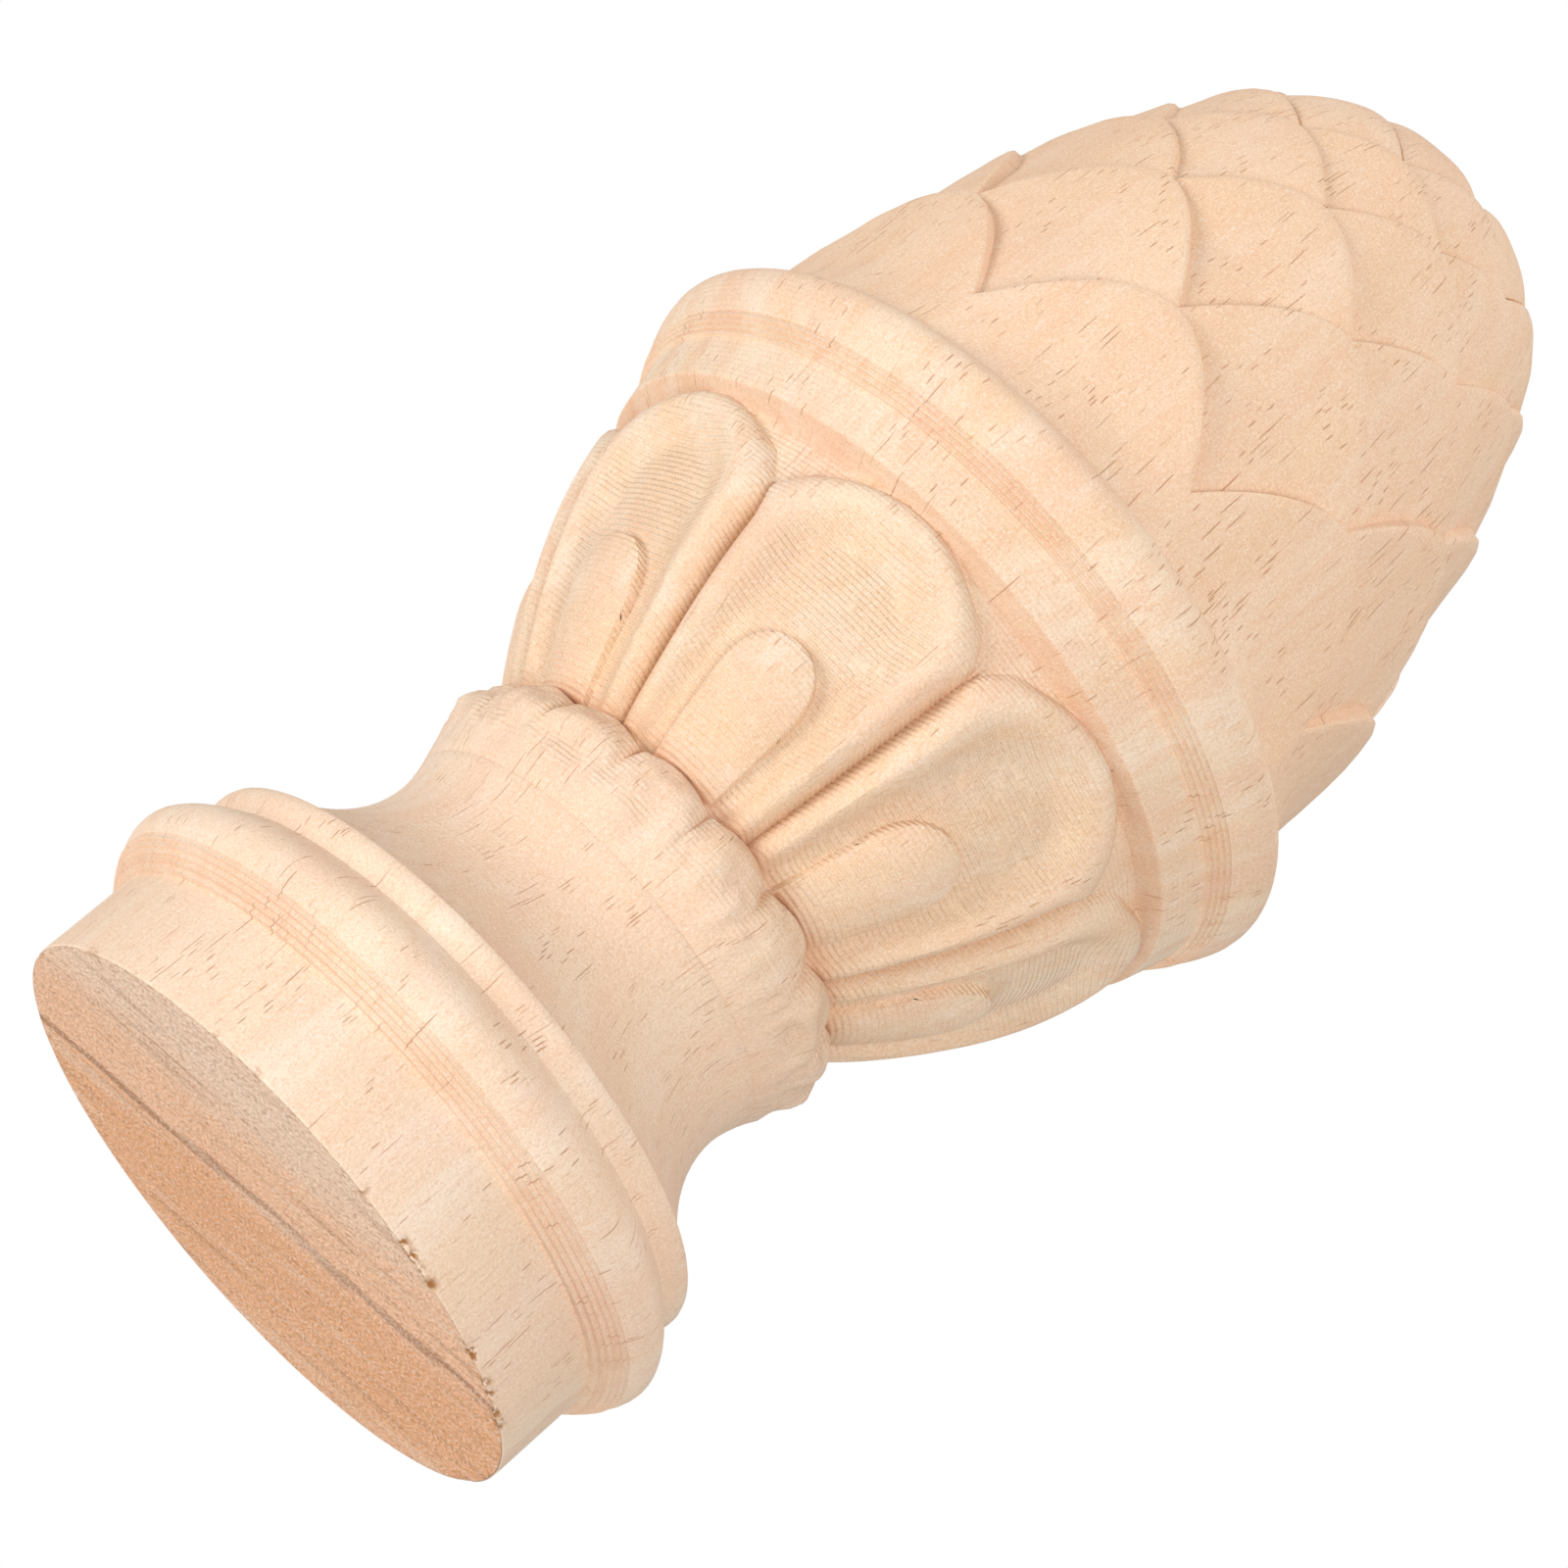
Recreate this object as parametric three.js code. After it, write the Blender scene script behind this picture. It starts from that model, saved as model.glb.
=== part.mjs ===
import * as THREE from 'three';
import { mergeVertices } from 'three/addons/utils/BufferGeometryUtils.js';

// Stair finial turned and carved from one block of pale hardwood.
// Millimetres, Z up, the flat underside of the foot on z = 0, the turning axis on Z.
// The face of one petal looks along -Y; angles grow from -Y towards +X.

// Whole piece
const HEIGHT = 200;
const SECTORS = 8;

// Foot band
const FOOT_RADIUS = 38.75;
const FOOT_TOP = 13.1;
const FOOT_EDGE_EASE = 0.3;

// Bead above the foot
const BEAD_START_RADIUS = 39.4;
const BEAD_RADIUS = 42.95;
const BEAD_CREST = 19.0;
const BEAD_UNDER_POWER = 1.85;
const BEAD_OVER_POWER = 2.0;

// Quirk and narrow ring over the bead
const QUIRK_RADIUS = 38.6;
const QUIRK_TOP = 24.8;
const RING_RADIUS = 39.25;
const RING_CREST = 27.2;
const RING_TOP = 28.5;
const RING_TOP_RADIUS = 38.85;
const RING_OVER_POWER = 3;

// Scotia, the waist of the foot
const SCOTIA_START_RADIUS = 37.7;
const WAIST_RADIUS = 27.0;
const WAIST_HEIGHT = 45.6;
const SCOTIA_POWER = 2.15;
const FLARE_POWER = 1.6;

// Scalloped collar
const COLLAR_START = 54.0;
const COLLAR_START_RADIUS = 29.6;
const COLLAR_RADIUS = 30.4;
const COLLAR_CREST = 57.6;
const COLLAR_TOP = 62.2;
const COLLAR_TOP_RADIUS = 28.5;
const COLLAR_LOBES = 16;
const COLLAR_LOBE_DEPTH = 0.75;
const COLLAR_LOBE_POWER = 2.2;
const COLLAR_NOTCH_DEPTH = 0.75;
const COLLAR_NOTCH_POWER = 9;
const COLLAR_NOTCH_DROP = 1.1;
const COLLAR_NOTCH_START = 54.6;
const COLLAR_NOTCH_FULL = 61.0;

// Cup that carries the petals: the level of the petal crests
const CUP_START = 62.8;
const CUP_START_RADIUS = 28.0;
const CUP_TOP = 99.0;
const CUP_TOP_RADIUS = 44.7;
const CUP_POWER = 1.85;

// Petals, one to a sector: the line along the crest of the rim, and the outer line that
// the rim is rounded off to. The outlines of two neighbours meet where the wall begins.
const PETAL_HALF_ANGLE = 18.3;
const PETAL_ARCH_START = 86.5;
const PETAL_ARCH_TOP = 97.0;
const PETAL_ARCH_POWER = 2.1;
const OUTLINE_HALF_ANGLE = 24.0;
const OUTLINE_TOP = 98.8;
const OUTLINE_POWER = 1.9;
const OUTLINE_ROUNDING = 1.1;
const HOLLOW_LOW_SHARE = 0.71;
const HOLLOW_HIGH_SHARE = 0.54;
const HOLLOW_HEAD_SHARE = 0.3;
const HOLLOW_DEPTH = 3.1;
const HOLLOW_BOTTOM_DEPTH = 1.9;
const HOLLOW_FULL = 78;

// Tongue standing in the foot of each petal
const TONGUE_HALF_ANGLE = 9.6;
const TONGUE_ARCH_START = 72.5;
const TONGUE_ARCH_TOP = 79.6;
const TONGUE_ARCH_POWER = 2.2;
const TONGUE_DROP = 0.15;
const TONGUE_EDGE_DROP = 0.62;
const TONGUE_CROWN_POWER = 2.2;
const TONGUE_EDGE_SHARE = 1.09;

// Groove and wall seen between the petals
const GROOVE_DEPTH = 3.5;
const GROOVE_FULL = 74;
const GROOVE_START_DEPTH = 2.3;
const GROOVE_TOP = 91.5;
const GROOVE_TOP_ANGLE = 21.0;
const WALL_DEPTH = 2.1;
const WALL_STEP = 0.06;

// Sloping ledge over the wall and the petals' tips, under the rim band
const LEDGE_BOTTOM = 97.5;
const LEDGE_RADIUS = 42.6;
const TIP_TOP = 98.6;
const TIP_HALF_ANGLE = 16.0;

// Rim band and torus over the petals
const RIM_BOTTOM = 99.3;
const RIM_BOTTOM_RADIUS = 45.6;
const RIM_TOP = 104.8;
const RIM_TOP_RADIUS = 47.3;
const TORUS_RADIUS = 50.9;
const TORUS_CREST = 112.0;
const TORUS_TOP = 116.0;
const TORUS_TOP_RADIUS = 47.4;
const TORUS_UNDER_POWER = 1.45;
const TORUS_OVER_POWER = 2.2;

// Cone of scales: one scale to a sector, every second row turned by half a sector.
// Tips and the notches between scales are shares of the cone's height above the torus,
// and the radius at the tips is a share of the cone's foot radius.
const CONE_FOOT_RADIUS = 48.9;
const CONE_FLARE = { height: 0.09, radius: 0.953 };
const SCALE_ROWS = [
  { tip: 0.283, notch: 0.102, radius: 0.904 },
  { tip: 0.479, notch: 0.293, radius: 0.815 },
  { tip: 0.614, notch: 0.488, radius: 0.74 },
  { tip: 0.736, notch: 0.624, radius: 0.65 },
  { tip: 0.811, notch: 0.744, radius: 0.589 },
  { tip: 0.898, notch: 0.82, radius: 0.474 },
  { tip: 0.957, notch: 0.907, radius: 0.327 },
];
const SCALE_ARCH_POWER = 1.8;
const SCALE_LIFT = 1.9;
const SCALE_LIFT_RANGE = 0.18;
const SCALE_CROWN = 0.55;
const SCALE_EDGE_HEIGHT = 0.5;

// Facets: stations of the half sector that is mirrored and turned into the whole skin
const SMALL_GAP = 0.12;
const TURNED_ANGLES = [0, 7.5, 15, 22.5];
const COLLAR_ANGLES = [0, 6, 9.6, 11.25, 12.9, 16.5, 22.5];
const CONE_ANGLES = [0, 5.6, 11.25, 16.9, 22.5];
const PETAL_SHARES = [0, 0.26, 0.44, 0.5246, 0.5718, 0.76, 1];
const OUTER_SHARES = [0.45, 0.8, 1];
const WALL_FOOT_SHARE = 0.2;
const TONGUE_ROW_SHARES = [0, 0.3, 0.62, 1];
const TONGUE_SIDE_GAP = 1.5;
const TONGUE_TOP_GAP = 0.6;
const TIP_ROW_SHARES = [0.976, 0.994];
const OUTLINE_MEETING_TURN = 19.85;
const ARCH_CORNER_TURN = 45;
const ARCH_TURNS = [OUTLINE_MEETING_TURN, 31, ARCH_CORNER_TURN, 67, 90];

const HALF_SECTOR = 180 / SECTORS;

function clamp(value, low, high) {
  return Math.min(Math.max(value, low), high);
}

function mix(a, b, share) {
  return a + (b - a) * share;
}

function smoothStep(low, high, value) {
  const t = clamp((value - low) / (high - low), 0, 1);
  return t * t * (3 - 2 * t);
}

// Angle to the nearest multiple of the pitch, in degrees.
function foldAngle(angle, pitch, phase) {
  const turned = angle - phase;
  return turned - pitch * Math.round(turned / pitch);
}

// Straight-sided arch: 0 on its centre line, 1 on its outline, more outside.
function archShare(angle, z, halfAngle, archStart, archTop, power) {
  const side = Math.abs(angle) / halfAngle;
  const rise = Math.max(0, z - archStart) / (archTop - archStart);
  return Math.pow(Math.pow(side, power) + Math.pow(rise, power), 1 / power);
}

// Place on the outline of a petal's arch at a turn round its head, in degrees.
function archPlace(turn, halfAngle, archTop, power) {
  const cosine = Math.max(0, Math.cos(THREE.MathUtils.degToRad(turn)));
  const sine = Math.sin(THREE.MathUtils.degToRad(turn));
  const rise = (archTop - PETAL_ARCH_START) * Math.pow(sine, 2 / power);
  return [halfAngle * Math.pow(cosine, 2 / power), PETAL_ARCH_START + rise];
}

function coneHeight(share) {
  return mix(TORUS_TOP, HEIGHT, share);
}

// Radius of the cone at the level of the scale tips, by Hermite arcs through them.
function coneRadius(z) {
  const stations = [
    [TORUS_TOP, CONE_FOOT_RADIUS],
    [coneHeight(CONE_FLARE.height), CONE_FOOT_RADIUS * CONE_FLARE.radius],
    ...SCALE_ROWS.map((row) => [coneHeight(row.tip), CONE_FOOT_RADIUS * row.radius]),
    [HEIGHT, 0],
  ];
  const last = stations.length - 1;
  let i = 0;
  while (i < last - 1 && z > stations[i + 1][0]) {
    i += 1;
  }
  const [z0, r0] = stations[i];
  const [z1, r1] = stations[i + 1];
  const t = clamp((z - z0) / (z1 - z0), 0, 1);
  if (i === last - 1) {
    return r0 * Math.sqrt(1 - t * t);
  }
  const slopes = [i, i + 1].map((k) => {
    const before = stations[Math.max(k - 1, 0)];
    const after = stations[Math.min(k + 1, last)];
    return (after[1] - before[1]) / (after[0] - before[0]);
  });
  const t2 = t * t;
  const t3 = t2 * t;
  const level = r0 * (2 * t3 - 3 * t2 + 1) + r1 * (3 * t2 - 2 * t3);
  const bend = slopes[0] * (t3 - 2 * t2 + t) + slopes[1] * (t3 - t2);
  return level + bend * (z1 - z0);
}

// Bulge between two heights: full at the crest, down to the end radius by a power.
function bulge(z, crest, crestRadius, end, endRadius, power) {
  const t = clamp((z - crest) / (end - crest), 0, 1);
  return crestRadius - (crestRadius - endRadius) * Math.pow(t, power);
}

function footRadius(z) {
  if (z < FOOT_TOP) {
    const rise = clamp(z / FOOT_EDGE_EASE, 0, 1);
    return FOOT_RADIUS - FOOT_EDGE_EASE * (1 - Math.sqrt(1 - (1 - rise) * (1 - rise)));
  }
  if (z < BEAD_CREST) {
    return bulge(z, BEAD_CREST, BEAD_RADIUS, FOOT_TOP, BEAD_START_RADIUS, BEAD_UNDER_POWER);
  }
  if (z < QUIRK_TOP) {
    return bulge(z, BEAD_CREST, BEAD_RADIUS, QUIRK_TOP, QUIRK_RADIUS, BEAD_OVER_POWER);
  }
  if (z < RING_CREST) {
    return mix(QUIRK_RADIUS, RING_RADIUS, smoothStep(QUIRK_TOP, RING_CREST, z));
  }
  return bulge(z, RING_CREST, RING_RADIUS, RING_TOP, RING_TOP_RADIUS, RING_OVER_POWER);
}

function waistRadius(z) {
  if (z < WAIST_HEIGHT) {
    const t = (WAIST_HEIGHT - z) / (WAIST_HEIGHT - RING_TOP);
    return WAIST_RADIUS + (SCOTIA_START_RADIUS - WAIST_RADIUS) * Math.pow(t, SCOTIA_POWER);
  }
  const t = (z - WAIST_HEIGHT) / (COLLAR_START - WAIST_HEIGHT);
  return WAIST_RADIUS + (COLLAR_START_RADIUS - WAIST_RADIUS) * Math.pow(t, FLARE_POWER);
}

// Place across one lobe of the collar: 0 on its middle, 1 in the notch beside it.
function lobeShare(angle) {
  const pitch = 360 / COLLAR_LOBES;
  return Math.abs(foldAngle(angle, pitch, 0)) / (pitch / 2);
}

function lipHeight(angle) {
  return COLLAR_TOP - SMALL_GAP - COLLAR_NOTCH_DROP * Math.pow(lobeShare(angle), COLLAR_LOBE_POWER);
}

// Scalloped collar: round lobes parted by notches that deepen towards the lip.
function collarRadius(angle, z) {
  let radius = waistRadius(z);
  if (z > COLLAR_START) {
    radius = mix(COLLAR_START_RADIUS, COLLAR_RADIUS, smoothStep(COLLAR_START, COLLAR_CREST, z));
  }
  if (z > COLLAR_CREST) {
    radius = bulge(z, COLLAR_CREST, COLLAR_RADIUS, COLLAR_TOP, COLLAR_TOP_RADIUS, 2);
  }
  const share = lobeShare(angle);
  const lobe = COLLAR_LOBE_DEPTH * Math.pow(share, COLLAR_LOBE_POWER);
  const notch = COLLAR_NOTCH_DEPTH * Math.pow(share, COLLAR_NOTCH_POWER);
  return radius - (lobe + notch) * smoothStep(COLLAR_NOTCH_START, COLLAR_NOTCH_FULL, z);
}

function crestRadius(z) {
  const t = clamp((z - CUP_START) / (CUP_TOP - CUP_START), 0, 1);
  return CUP_START_RADIUS + (CUP_TOP_RADIUS - CUP_START_RADIUS) * (1 - Math.pow(1 - t, CUP_POWER));
}

// Height at which the petals and the wall between them meet the ledge.
function tipLine(angle) {
  const rise = Math.max(0, 1 - Math.pow(angle / TIP_HALF_ANGLE, 2));
  return mix(LEDGE_BOTTOM, TIP_TOP, rise);
}

function ledgeRadius(z) {
  if (z < LEDGE_BOTTOM - SMALL_GAP) {
    return 0;
  }
  return mix(LEDGE_RADIUS, RIM_BOTTOM_RADIUS, (z - LEDGE_BOTTOM) / (RIM_BOTTOM - LEDGE_BOTTOM));
}

// Depth under the crest of the spoon hollow and of the domed tongue in it.
function hollowDepth(side, z, q) {
  const full = mix(HOLLOW_BOTTOM_DEPTH, HOLLOW_DEPTH, smoothStep(CUP_START, HOLLOW_FULL, z));
  const low = smoothStep(PETAL_ARCH_START, TONGUE_ARCH_START, z);
  const head = smoothStep(PETAL_ARCH_START, PETAL_ARCH_TOP, z);
  const flat = mix(mix(HOLLOW_HIGH_SHARE, HOLLOW_LOW_SHARE, low), HOLLOW_HEAD_SHARE, head);
  const depth = full * (1 - smoothStep(flat, 1, q));
  const u = archShare(side, z, TONGUE_HALF_ANGLE, TONGUE_ARCH_START, TONGUE_ARCH_TOP, TONGUE_ARCH_POWER);
  if (u >= TONGUE_EDGE_SHARE) {
    return depth;
  }
  const crown = Math.pow(Math.min(u, 1), TONGUE_CROWN_POWER);
  const dome = Math.min(mix(TONGUE_DROP, TONGUE_EDGE_DROP * full, crown), depth);
  return mix(dome, depth, smoothStep(0.97, TONGUE_EDGE_SHARE, u));
}

// Depth under the crest of a petal's rounded edge, and of the groove and wall beside it.
function sideDepth(side, z, q) {
  const across = archShare(side, z, OUTLINE_HALF_ANGLE, PETAL_ARCH_START, OUTLINE_TOP, OUTLINE_POWER);
  const fromRim = (q - 1) * PETAL_HALF_ANGLE;
  const toOutline = Math.max(0, 1 - across) * OUTLINE_HALF_ANGLE;
  const rounding = OUTLINE_ROUNDING * Math.pow(fromRim / (fromRim + toOutline), 2);
  const edge = mix(rounding, WALL_DEPTH, smoothStep(1, 1 + WALL_STEP, across));
  const narrow = smoothStep(PETAL_ARCH_START, GROOVE_TOP, z);
  const deep = mix(GROOVE_START_DEPTH, GROOVE_DEPTH, smoothStep(CUP_START, GROOVE_FULL, z));
  const full = mix(deep, WALL_DEPTH, narrow);
  const brink = mix(PETAL_HALF_ANGLE, GROOVE_TOP_ANGLE, narrow);
  const toLine = clamp((side - brink) / (HALF_SECTOR - brink), 0, 1);
  return Math.max(edge, full * toLine * toLine);
}

// One petal of the cup: spoon hollow with its tongue, rounded rim, and the groove beside it.
function petalRadius(angle, z) {
  const side = Math.abs(foldAngle(angle, 2 * HALF_SECTOR, 0));
  const q = archShare(side, z, PETAL_HALF_ANGLE, PETAL_ARCH_START, PETAL_ARCH_TOP, PETAL_ARCH_POWER);
  const depth = q > 1 ? sideDepth(side, z, q) : hollowDepth(side, z, q);
  return Math.max(crestRadius(z) - depth, ledgeRadius(z));
}

function rimRadius(z) {
  if (z < RIM_TOP) {
    return mix(RIM_BOTTOM_RADIUS, RIM_TOP_RADIUS, (z - RIM_BOTTOM) / (RIM_TOP - RIM_BOTTOM));
  }
  if (z < TORUS_CREST) {
    return bulge(z, TORUS_CREST, TORUS_RADIUS, RIM_TOP, RIM_TOP_RADIUS, TORUS_UNDER_POWER);
  }
  return bulge(z, TORUS_CREST, TORUS_RADIUS, TORUS_TOP, TORUS_TOP_RADIUS, TORUS_OVER_POWER);
}

// Place across one scale of a row: 0 on its middle, 1 where it meets its neighbour.
function scaleShare(angle, row) {
  const phase = row % 2 === 0 ? 0 : HALF_SECTOR;
  return Math.abs(foldAngle(angle, 2 * HALF_SECTOR, phase)) / HALF_SECTOR;
}

function scaleEdge(angle, row) {
  const { tip, notch } = SCALE_ROWS[row];
  return coneHeight(mix(tip, notch, Math.pow(scaleShare(angle, row), SCALE_ARCH_POWER)));
}

// Cone of scales: the lowest row whose edge lies above the point is the one seen there.
function scaleRadius(angle, z) {
  const outer = coneRadius(z);
  for (let row = 0; row < SCALE_ROWS.length; row += 1) {
    const share = scaleShare(angle, row);
    const edge = scaleEdge(angle, row);
    if (z < edge + SCALE_EDGE_HEIGHT) {
      const range = SCALE_LIFT_RANGE * (HEIGHT - TORUS_TOP);
      const near = 1 - clamp((edge - z) / range, 0, 1);
      const step = 1 - smoothStep(edge, edge + SCALE_EDGE_HEIGHT, z);
      const lift = SCALE_LIFT * near * step;
      return outer - SCALE_LIFT + lift - SCALE_CROWN * share * share;
    }
  }
  return Math.max(outer - SCALE_LIFT, 0);
}

function surfaceRadius(angle, z) {
  if (z < RING_TOP) {
    return footRadius(z);
  }
  if (z < COLLAR_TOP) {
    return collarRadius(angle, z);
  }
  if (z < RIM_BOTTOM) {
    return petalRadius(angle, z);
  }
  if (z < TORUS_TOP) {
    return rimRadius(z);
  }
  return scaleRadius(angle, z);
}

// Heights between two ends, closer together near the low end when the power is above 1.
function heightsBetween(low, high, count, power) {
  const heights = [];
  for (let i = 0; i <= count; i += 1) {
    heights.push(mix(low, high, Math.pow(i / count, power)));
  }
  return heights;
}

// Lattices are lists of rows; a row is a list of [angle, z] places on the skin.
function levelRows(angles, heights) {
  return heights.map((z) => angles.map((angle) => [angle, z]));
}

function footLattice() {
  return levelRows(TURNED_ANGLES, [
    ...heightsBetween(0, FOOT_EDGE_EASE, 2, 2),
    FOOT_TOP - SMALL_GAP,
    ...heightsBetween(FOOT_TOP, BEAD_CREST, 4, 1),
    ...heightsBetween(BEAD_CREST, QUIRK_TOP, 3, 0.8).slice(1),
    mix(QUIRK_TOP, RING_CREST, 0.5),
    RING_CREST,
    RING_TOP - SMALL_GAP,
    ...heightsBetween(RING_TOP, WAIST_HEIGHT, 5, 1.4),
    ...heightsBetween(WAIST_HEIGHT, COLLAR_NOTCH_START, 2, 1).slice(1),
  ]);
}

function collarLattice() {
  const heights = heightsBetween(COLLAR_NOTCH_START + SMALL_GAP, COLLAR_CREST, 2, 1);
  heights.push(mix(COLLAR_CREST, COLLAR_TOP, 0.6));
  const lip = COLLAR_ANGLES.map((angle) => [angle, lipHeight(angle)]);
  return [...levelRows(COLLAR_ANGLES, heights), lip];
}

// Height of a petal row at a place: rows rise over the tongue and run level beside it.
function petalRowHeight(row, angle) {
  const [beside, middle] = row;
  const share = clamp(angle / (TONGUE_HALF_ANGLE * TONGUE_EDGE_SHARE), 0, 1);
  const rise = Math.pow(1 - Math.pow(share, TONGUE_ARCH_POWER), 1 / TONGUE_ARCH_POWER);
  return mix(beside, middle, rise);
}

// Each row: height beside the tongue, height on the middle line of the petal.
function petalRows() {
  const side = TONGUE_ARCH_START - TONGUE_SIDE_GAP;
  const rows = TONGUE_ROW_SHARES.map((share) => [
    mix(CUP_START, side, share),
    mix(CUP_START, TONGUE_ARCH_TOP, share),
  ]);
  const over = [TONGUE_ARCH_START + TONGUE_TOP_GAP, TONGUE_ARCH_TOP + TONGUE_TOP_GAP];
  rows.push(over, over.map((z) => mix(z, PETAL_ARCH_START, 0.5)));
  rows.push([PETAL_ARCH_START, PETAL_ARCH_START]);
  return rows;
}

function between(first, second, share) {
  return [mix(first[0], second[0], share), mix(first[1], second[1], share)];
}

// Places of an arch row outside the crest of the rim: out to the line between two petals,
// or over the outline and down the wall to the ledge.
function outerPlaces(turn, crest) {
  const outline = archPlace(turn, OUTLINE_HALF_ANGLE, OUTLINE_TOP, OUTLINE_POWER);
  if (turn <= OUTLINE_MEETING_TURN) {
    return OUTER_SHARES.map((share) => between(crest, [HALF_SECTOR, outline[1]], share));
  }
  const rise = (turn - OUTLINE_MEETING_TURN) / (ARCH_CORNER_TURN - OUTLINE_MEETING_TURN);
  let end = [HALF_SECTOR, mix(outline[1], LEDGE_BOTTOM, clamp(rise, 0, 1))];
  if (turn > ARCH_CORNER_TURN) {
    const angle = HALF_SECTOR * (90 - turn) / (90 - ARCH_CORNER_TURN);
    end = [angle, tipLine(angle)];
  }
  return [outline, between(outline, end, WALL_FOOT_SHARE), end];
}

// Rows cross the petal from its middle line, over the rim, to the line between two petals.
function petalLattice() {
  const rows = petalRows().map((row) => {
    const places = PETAL_SHARES.map((q) => {
      const angle = PETAL_HALF_ANGLE * q;
      return [angle, petalRowHeight(row, angle)];
    });
    for (const share of OUTER_SHARES) {
      places.push([mix(PETAL_HALF_ANGLE, HALF_SECTOR, share), row[0]]);
    }
    return places;
  });
  for (const turn of ARCH_TURNS) {
    const [across, top] = archPlace(turn, PETAL_HALF_ANGLE, PETAL_ARCH_TOP, PETAL_ARCH_POWER);
    const places = PETAL_SHARES.map((q) => [across * q, mix(PETAL_ARCH_START, top, q)]);
    rows.push([...places, ...outerPlaces(turn, [across, top])]);
  }
  return rows;
}

function rimLattice() {
  return levelRows(TURNED_ANGLES, [
    RIM_BOTTOM,
    RIM_TOP,
    ...heightsBetween(RIM_TOP, TORUS_CREST, 3, 1).slice(1),
    ...heightsBetween(TORUS_CREST, TORUS_TOP - SMALL_GAP, 3, 0.7).slice(1),
  ]);
}

// Rows follow the edges of the scales, with rows between them on the open faces.
function coneLattice() {
  const lines = [CONE_ANGLES.map(() => TORUS_TOP)];
  for (let row = 0; row < SCALE_ROWS.length; row += 1) {
    const start = lines[lines.length - 1];
    const edge = CONE_ANGLES.map((angle) => scaleEdge(angle, row));
    const between = row === 0 ? [0.35, 0.7] : row < 4 ? [0.5] : [];
    for (const share of between) {
      lines.push(edge.map((z, i) => mix(start[i], z, share)));
    }
    lines.push(edge);
    lines.push(edge.map((z) => z + SCALE_EDGE_HEIGHT + 1e-6));
  }
  for (const share of TIP_ROW_SHARES) {
    lines.push(CONE_ANGLES.map(() => coneHeight(share)));
  }
  return lines.map((line) => line.map((z, i) => [CONE_ANGLES[i], z]));
}

function latticeTriangles(rows) {
  const triangles = [];
  for (let j = 0; j + 1 < rows.length; j += 1) {
    for (let i = 0; i + 1 < rows[j].length; i += 1) {
      const [a, b] = [rows[j][i], rows[j][i + 1]];
      const [c, d] = [rows[j + 1][i], rows[j + 1][i + 1]];
      triangles.push([a, b, d], [a, d, c]);
    }
  }
  return triangles;
}

// Joins the top row of one lattice to the bottom row of the next, whatever their counts.
function seamTriangles(lower, upper) {
  const triangles = [];
  let i = 0;
  let j = 0;
  while (i + 1 < lower.length || j + 1 < upper.length) {
    const canLower = i + 1 < lower.length;
    const canUpper = j + 1 < upper.length;
    const takeLower = canLower && (!canUpper || lower[i + 1][0] <= upper[j + 1][0]);
    if (takeLower) {
      triangles.push([lower[i], lower[i + 1], upper[j]]);
      i += 1;
    } else {
      triangles.push([lower[i], upper[j + 1], upper[j]]);
      j += 1;
    }
  }
  return triangles;
}

// The skin of a half sector, from the middle of the underside to the tip.
function halfSectorTriangles() {
  const lattices = [footLattice(), collarLattice(), petalLattice(), rimLattice(), coneLattice()];
  const triangles = lattices.flatMap(latticeTriangles);
  const [foot, collar, petal, rim, cone] = lattices;
  triangles.push(...seamTriangles(foot.at(-1), collar[0]));
  triangles.push(...seamTriangles(collar.at(-1), petal[0]));
  const cornerRow = petalRows().length + ARCH_TURNS.indexOf(ARCH_CORNER_TURN);
  const wallTop = petal.slice(cornerRow).map((row) => row.at(-1)).reverse();
  triangles.push(...seamTriangles(wallTop, rim[0]));
  triangles.push(...seamTriangles(rim.at(-1), cone[0]));
  const tip = cone.at(-1).map(() => [0, HEIGHT]);
  triangles.push(...latticeTriangles([cone.at(-1), tip]));
  return triangles;
}

function skinPoint([angle, z], mirrored, turn) {
  const radius = z >= HEIGHT ? 0 : surfaceRadius(angle, z);
  const place = THREE.MathUtils.degToRad((mirrored ? -angle : angle) + turn);
  return [radius * Math.sin(place), -radius * Math.cos(place), z];
}

function area(a, b, c) {
  const edgeB = new THREE.Vector3(b[0] - a[0], b[1] - a[1], b[2] - a[2]);
  const edgeC = new THREE.Vector3(c[0] - a[0], c[1] - a[1], c[2] - a[2]);
  return edgeB.cross(edgeC).length() / 2;
}

function finialGeometry() {
  const half = halfSectorTriangles();
  const underside = latticeTriangles([TURNED_ANGLES.map((angle) => [angle, -1]), footLattice()[0]]);
  const positions = [];
  for (let sector = 0; sector < SECTORS; sector += 1) {
    const turn = sector * 2 * HALF_SECTOR;
    for (const mirrored of [false, true]) {
      for (const triangle of [...half, ...underside]) {
        const corners = triangle.map((place) => (
          place[1] < 0 ? [0, 0, 0] : skinPoint(place, mirrored, turn)
        ));
        if (mirrored) {
          corners.reverse();
        }
        if (area(...corners) > 1e-7) {
          positions.push(...corners.flat());
        }
      }
    }
  }
  const soup = new THREE.BufferGeometry();
  soup.setAttribute('position', new THREE.Float32BufferAttribute(positions, 3));
  const geometry = mergeVertices(soup, 1e-4);
  geometry.computeVertexNormals();
  return geometry;
}

const wood = new THREE.MeshStandardMaterial({ color: 0xe9c9a6, roughness: 0.75, metalness: 0 });
const finial = new THREE.Mesh(finialGeometry(), wood);
finial.name = 'finial';

const part = new THREE.Group();
part.name = 'stair_finial';
part.add(finial);

export default part;
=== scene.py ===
"""Stair finial of bare rubberwood: one turned and carved piece, standing on a pale floor."""

import logging
import math
from collections.abc import Callable, Iterable
from dataclasses import dataclass, field
from enum import Enum

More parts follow.
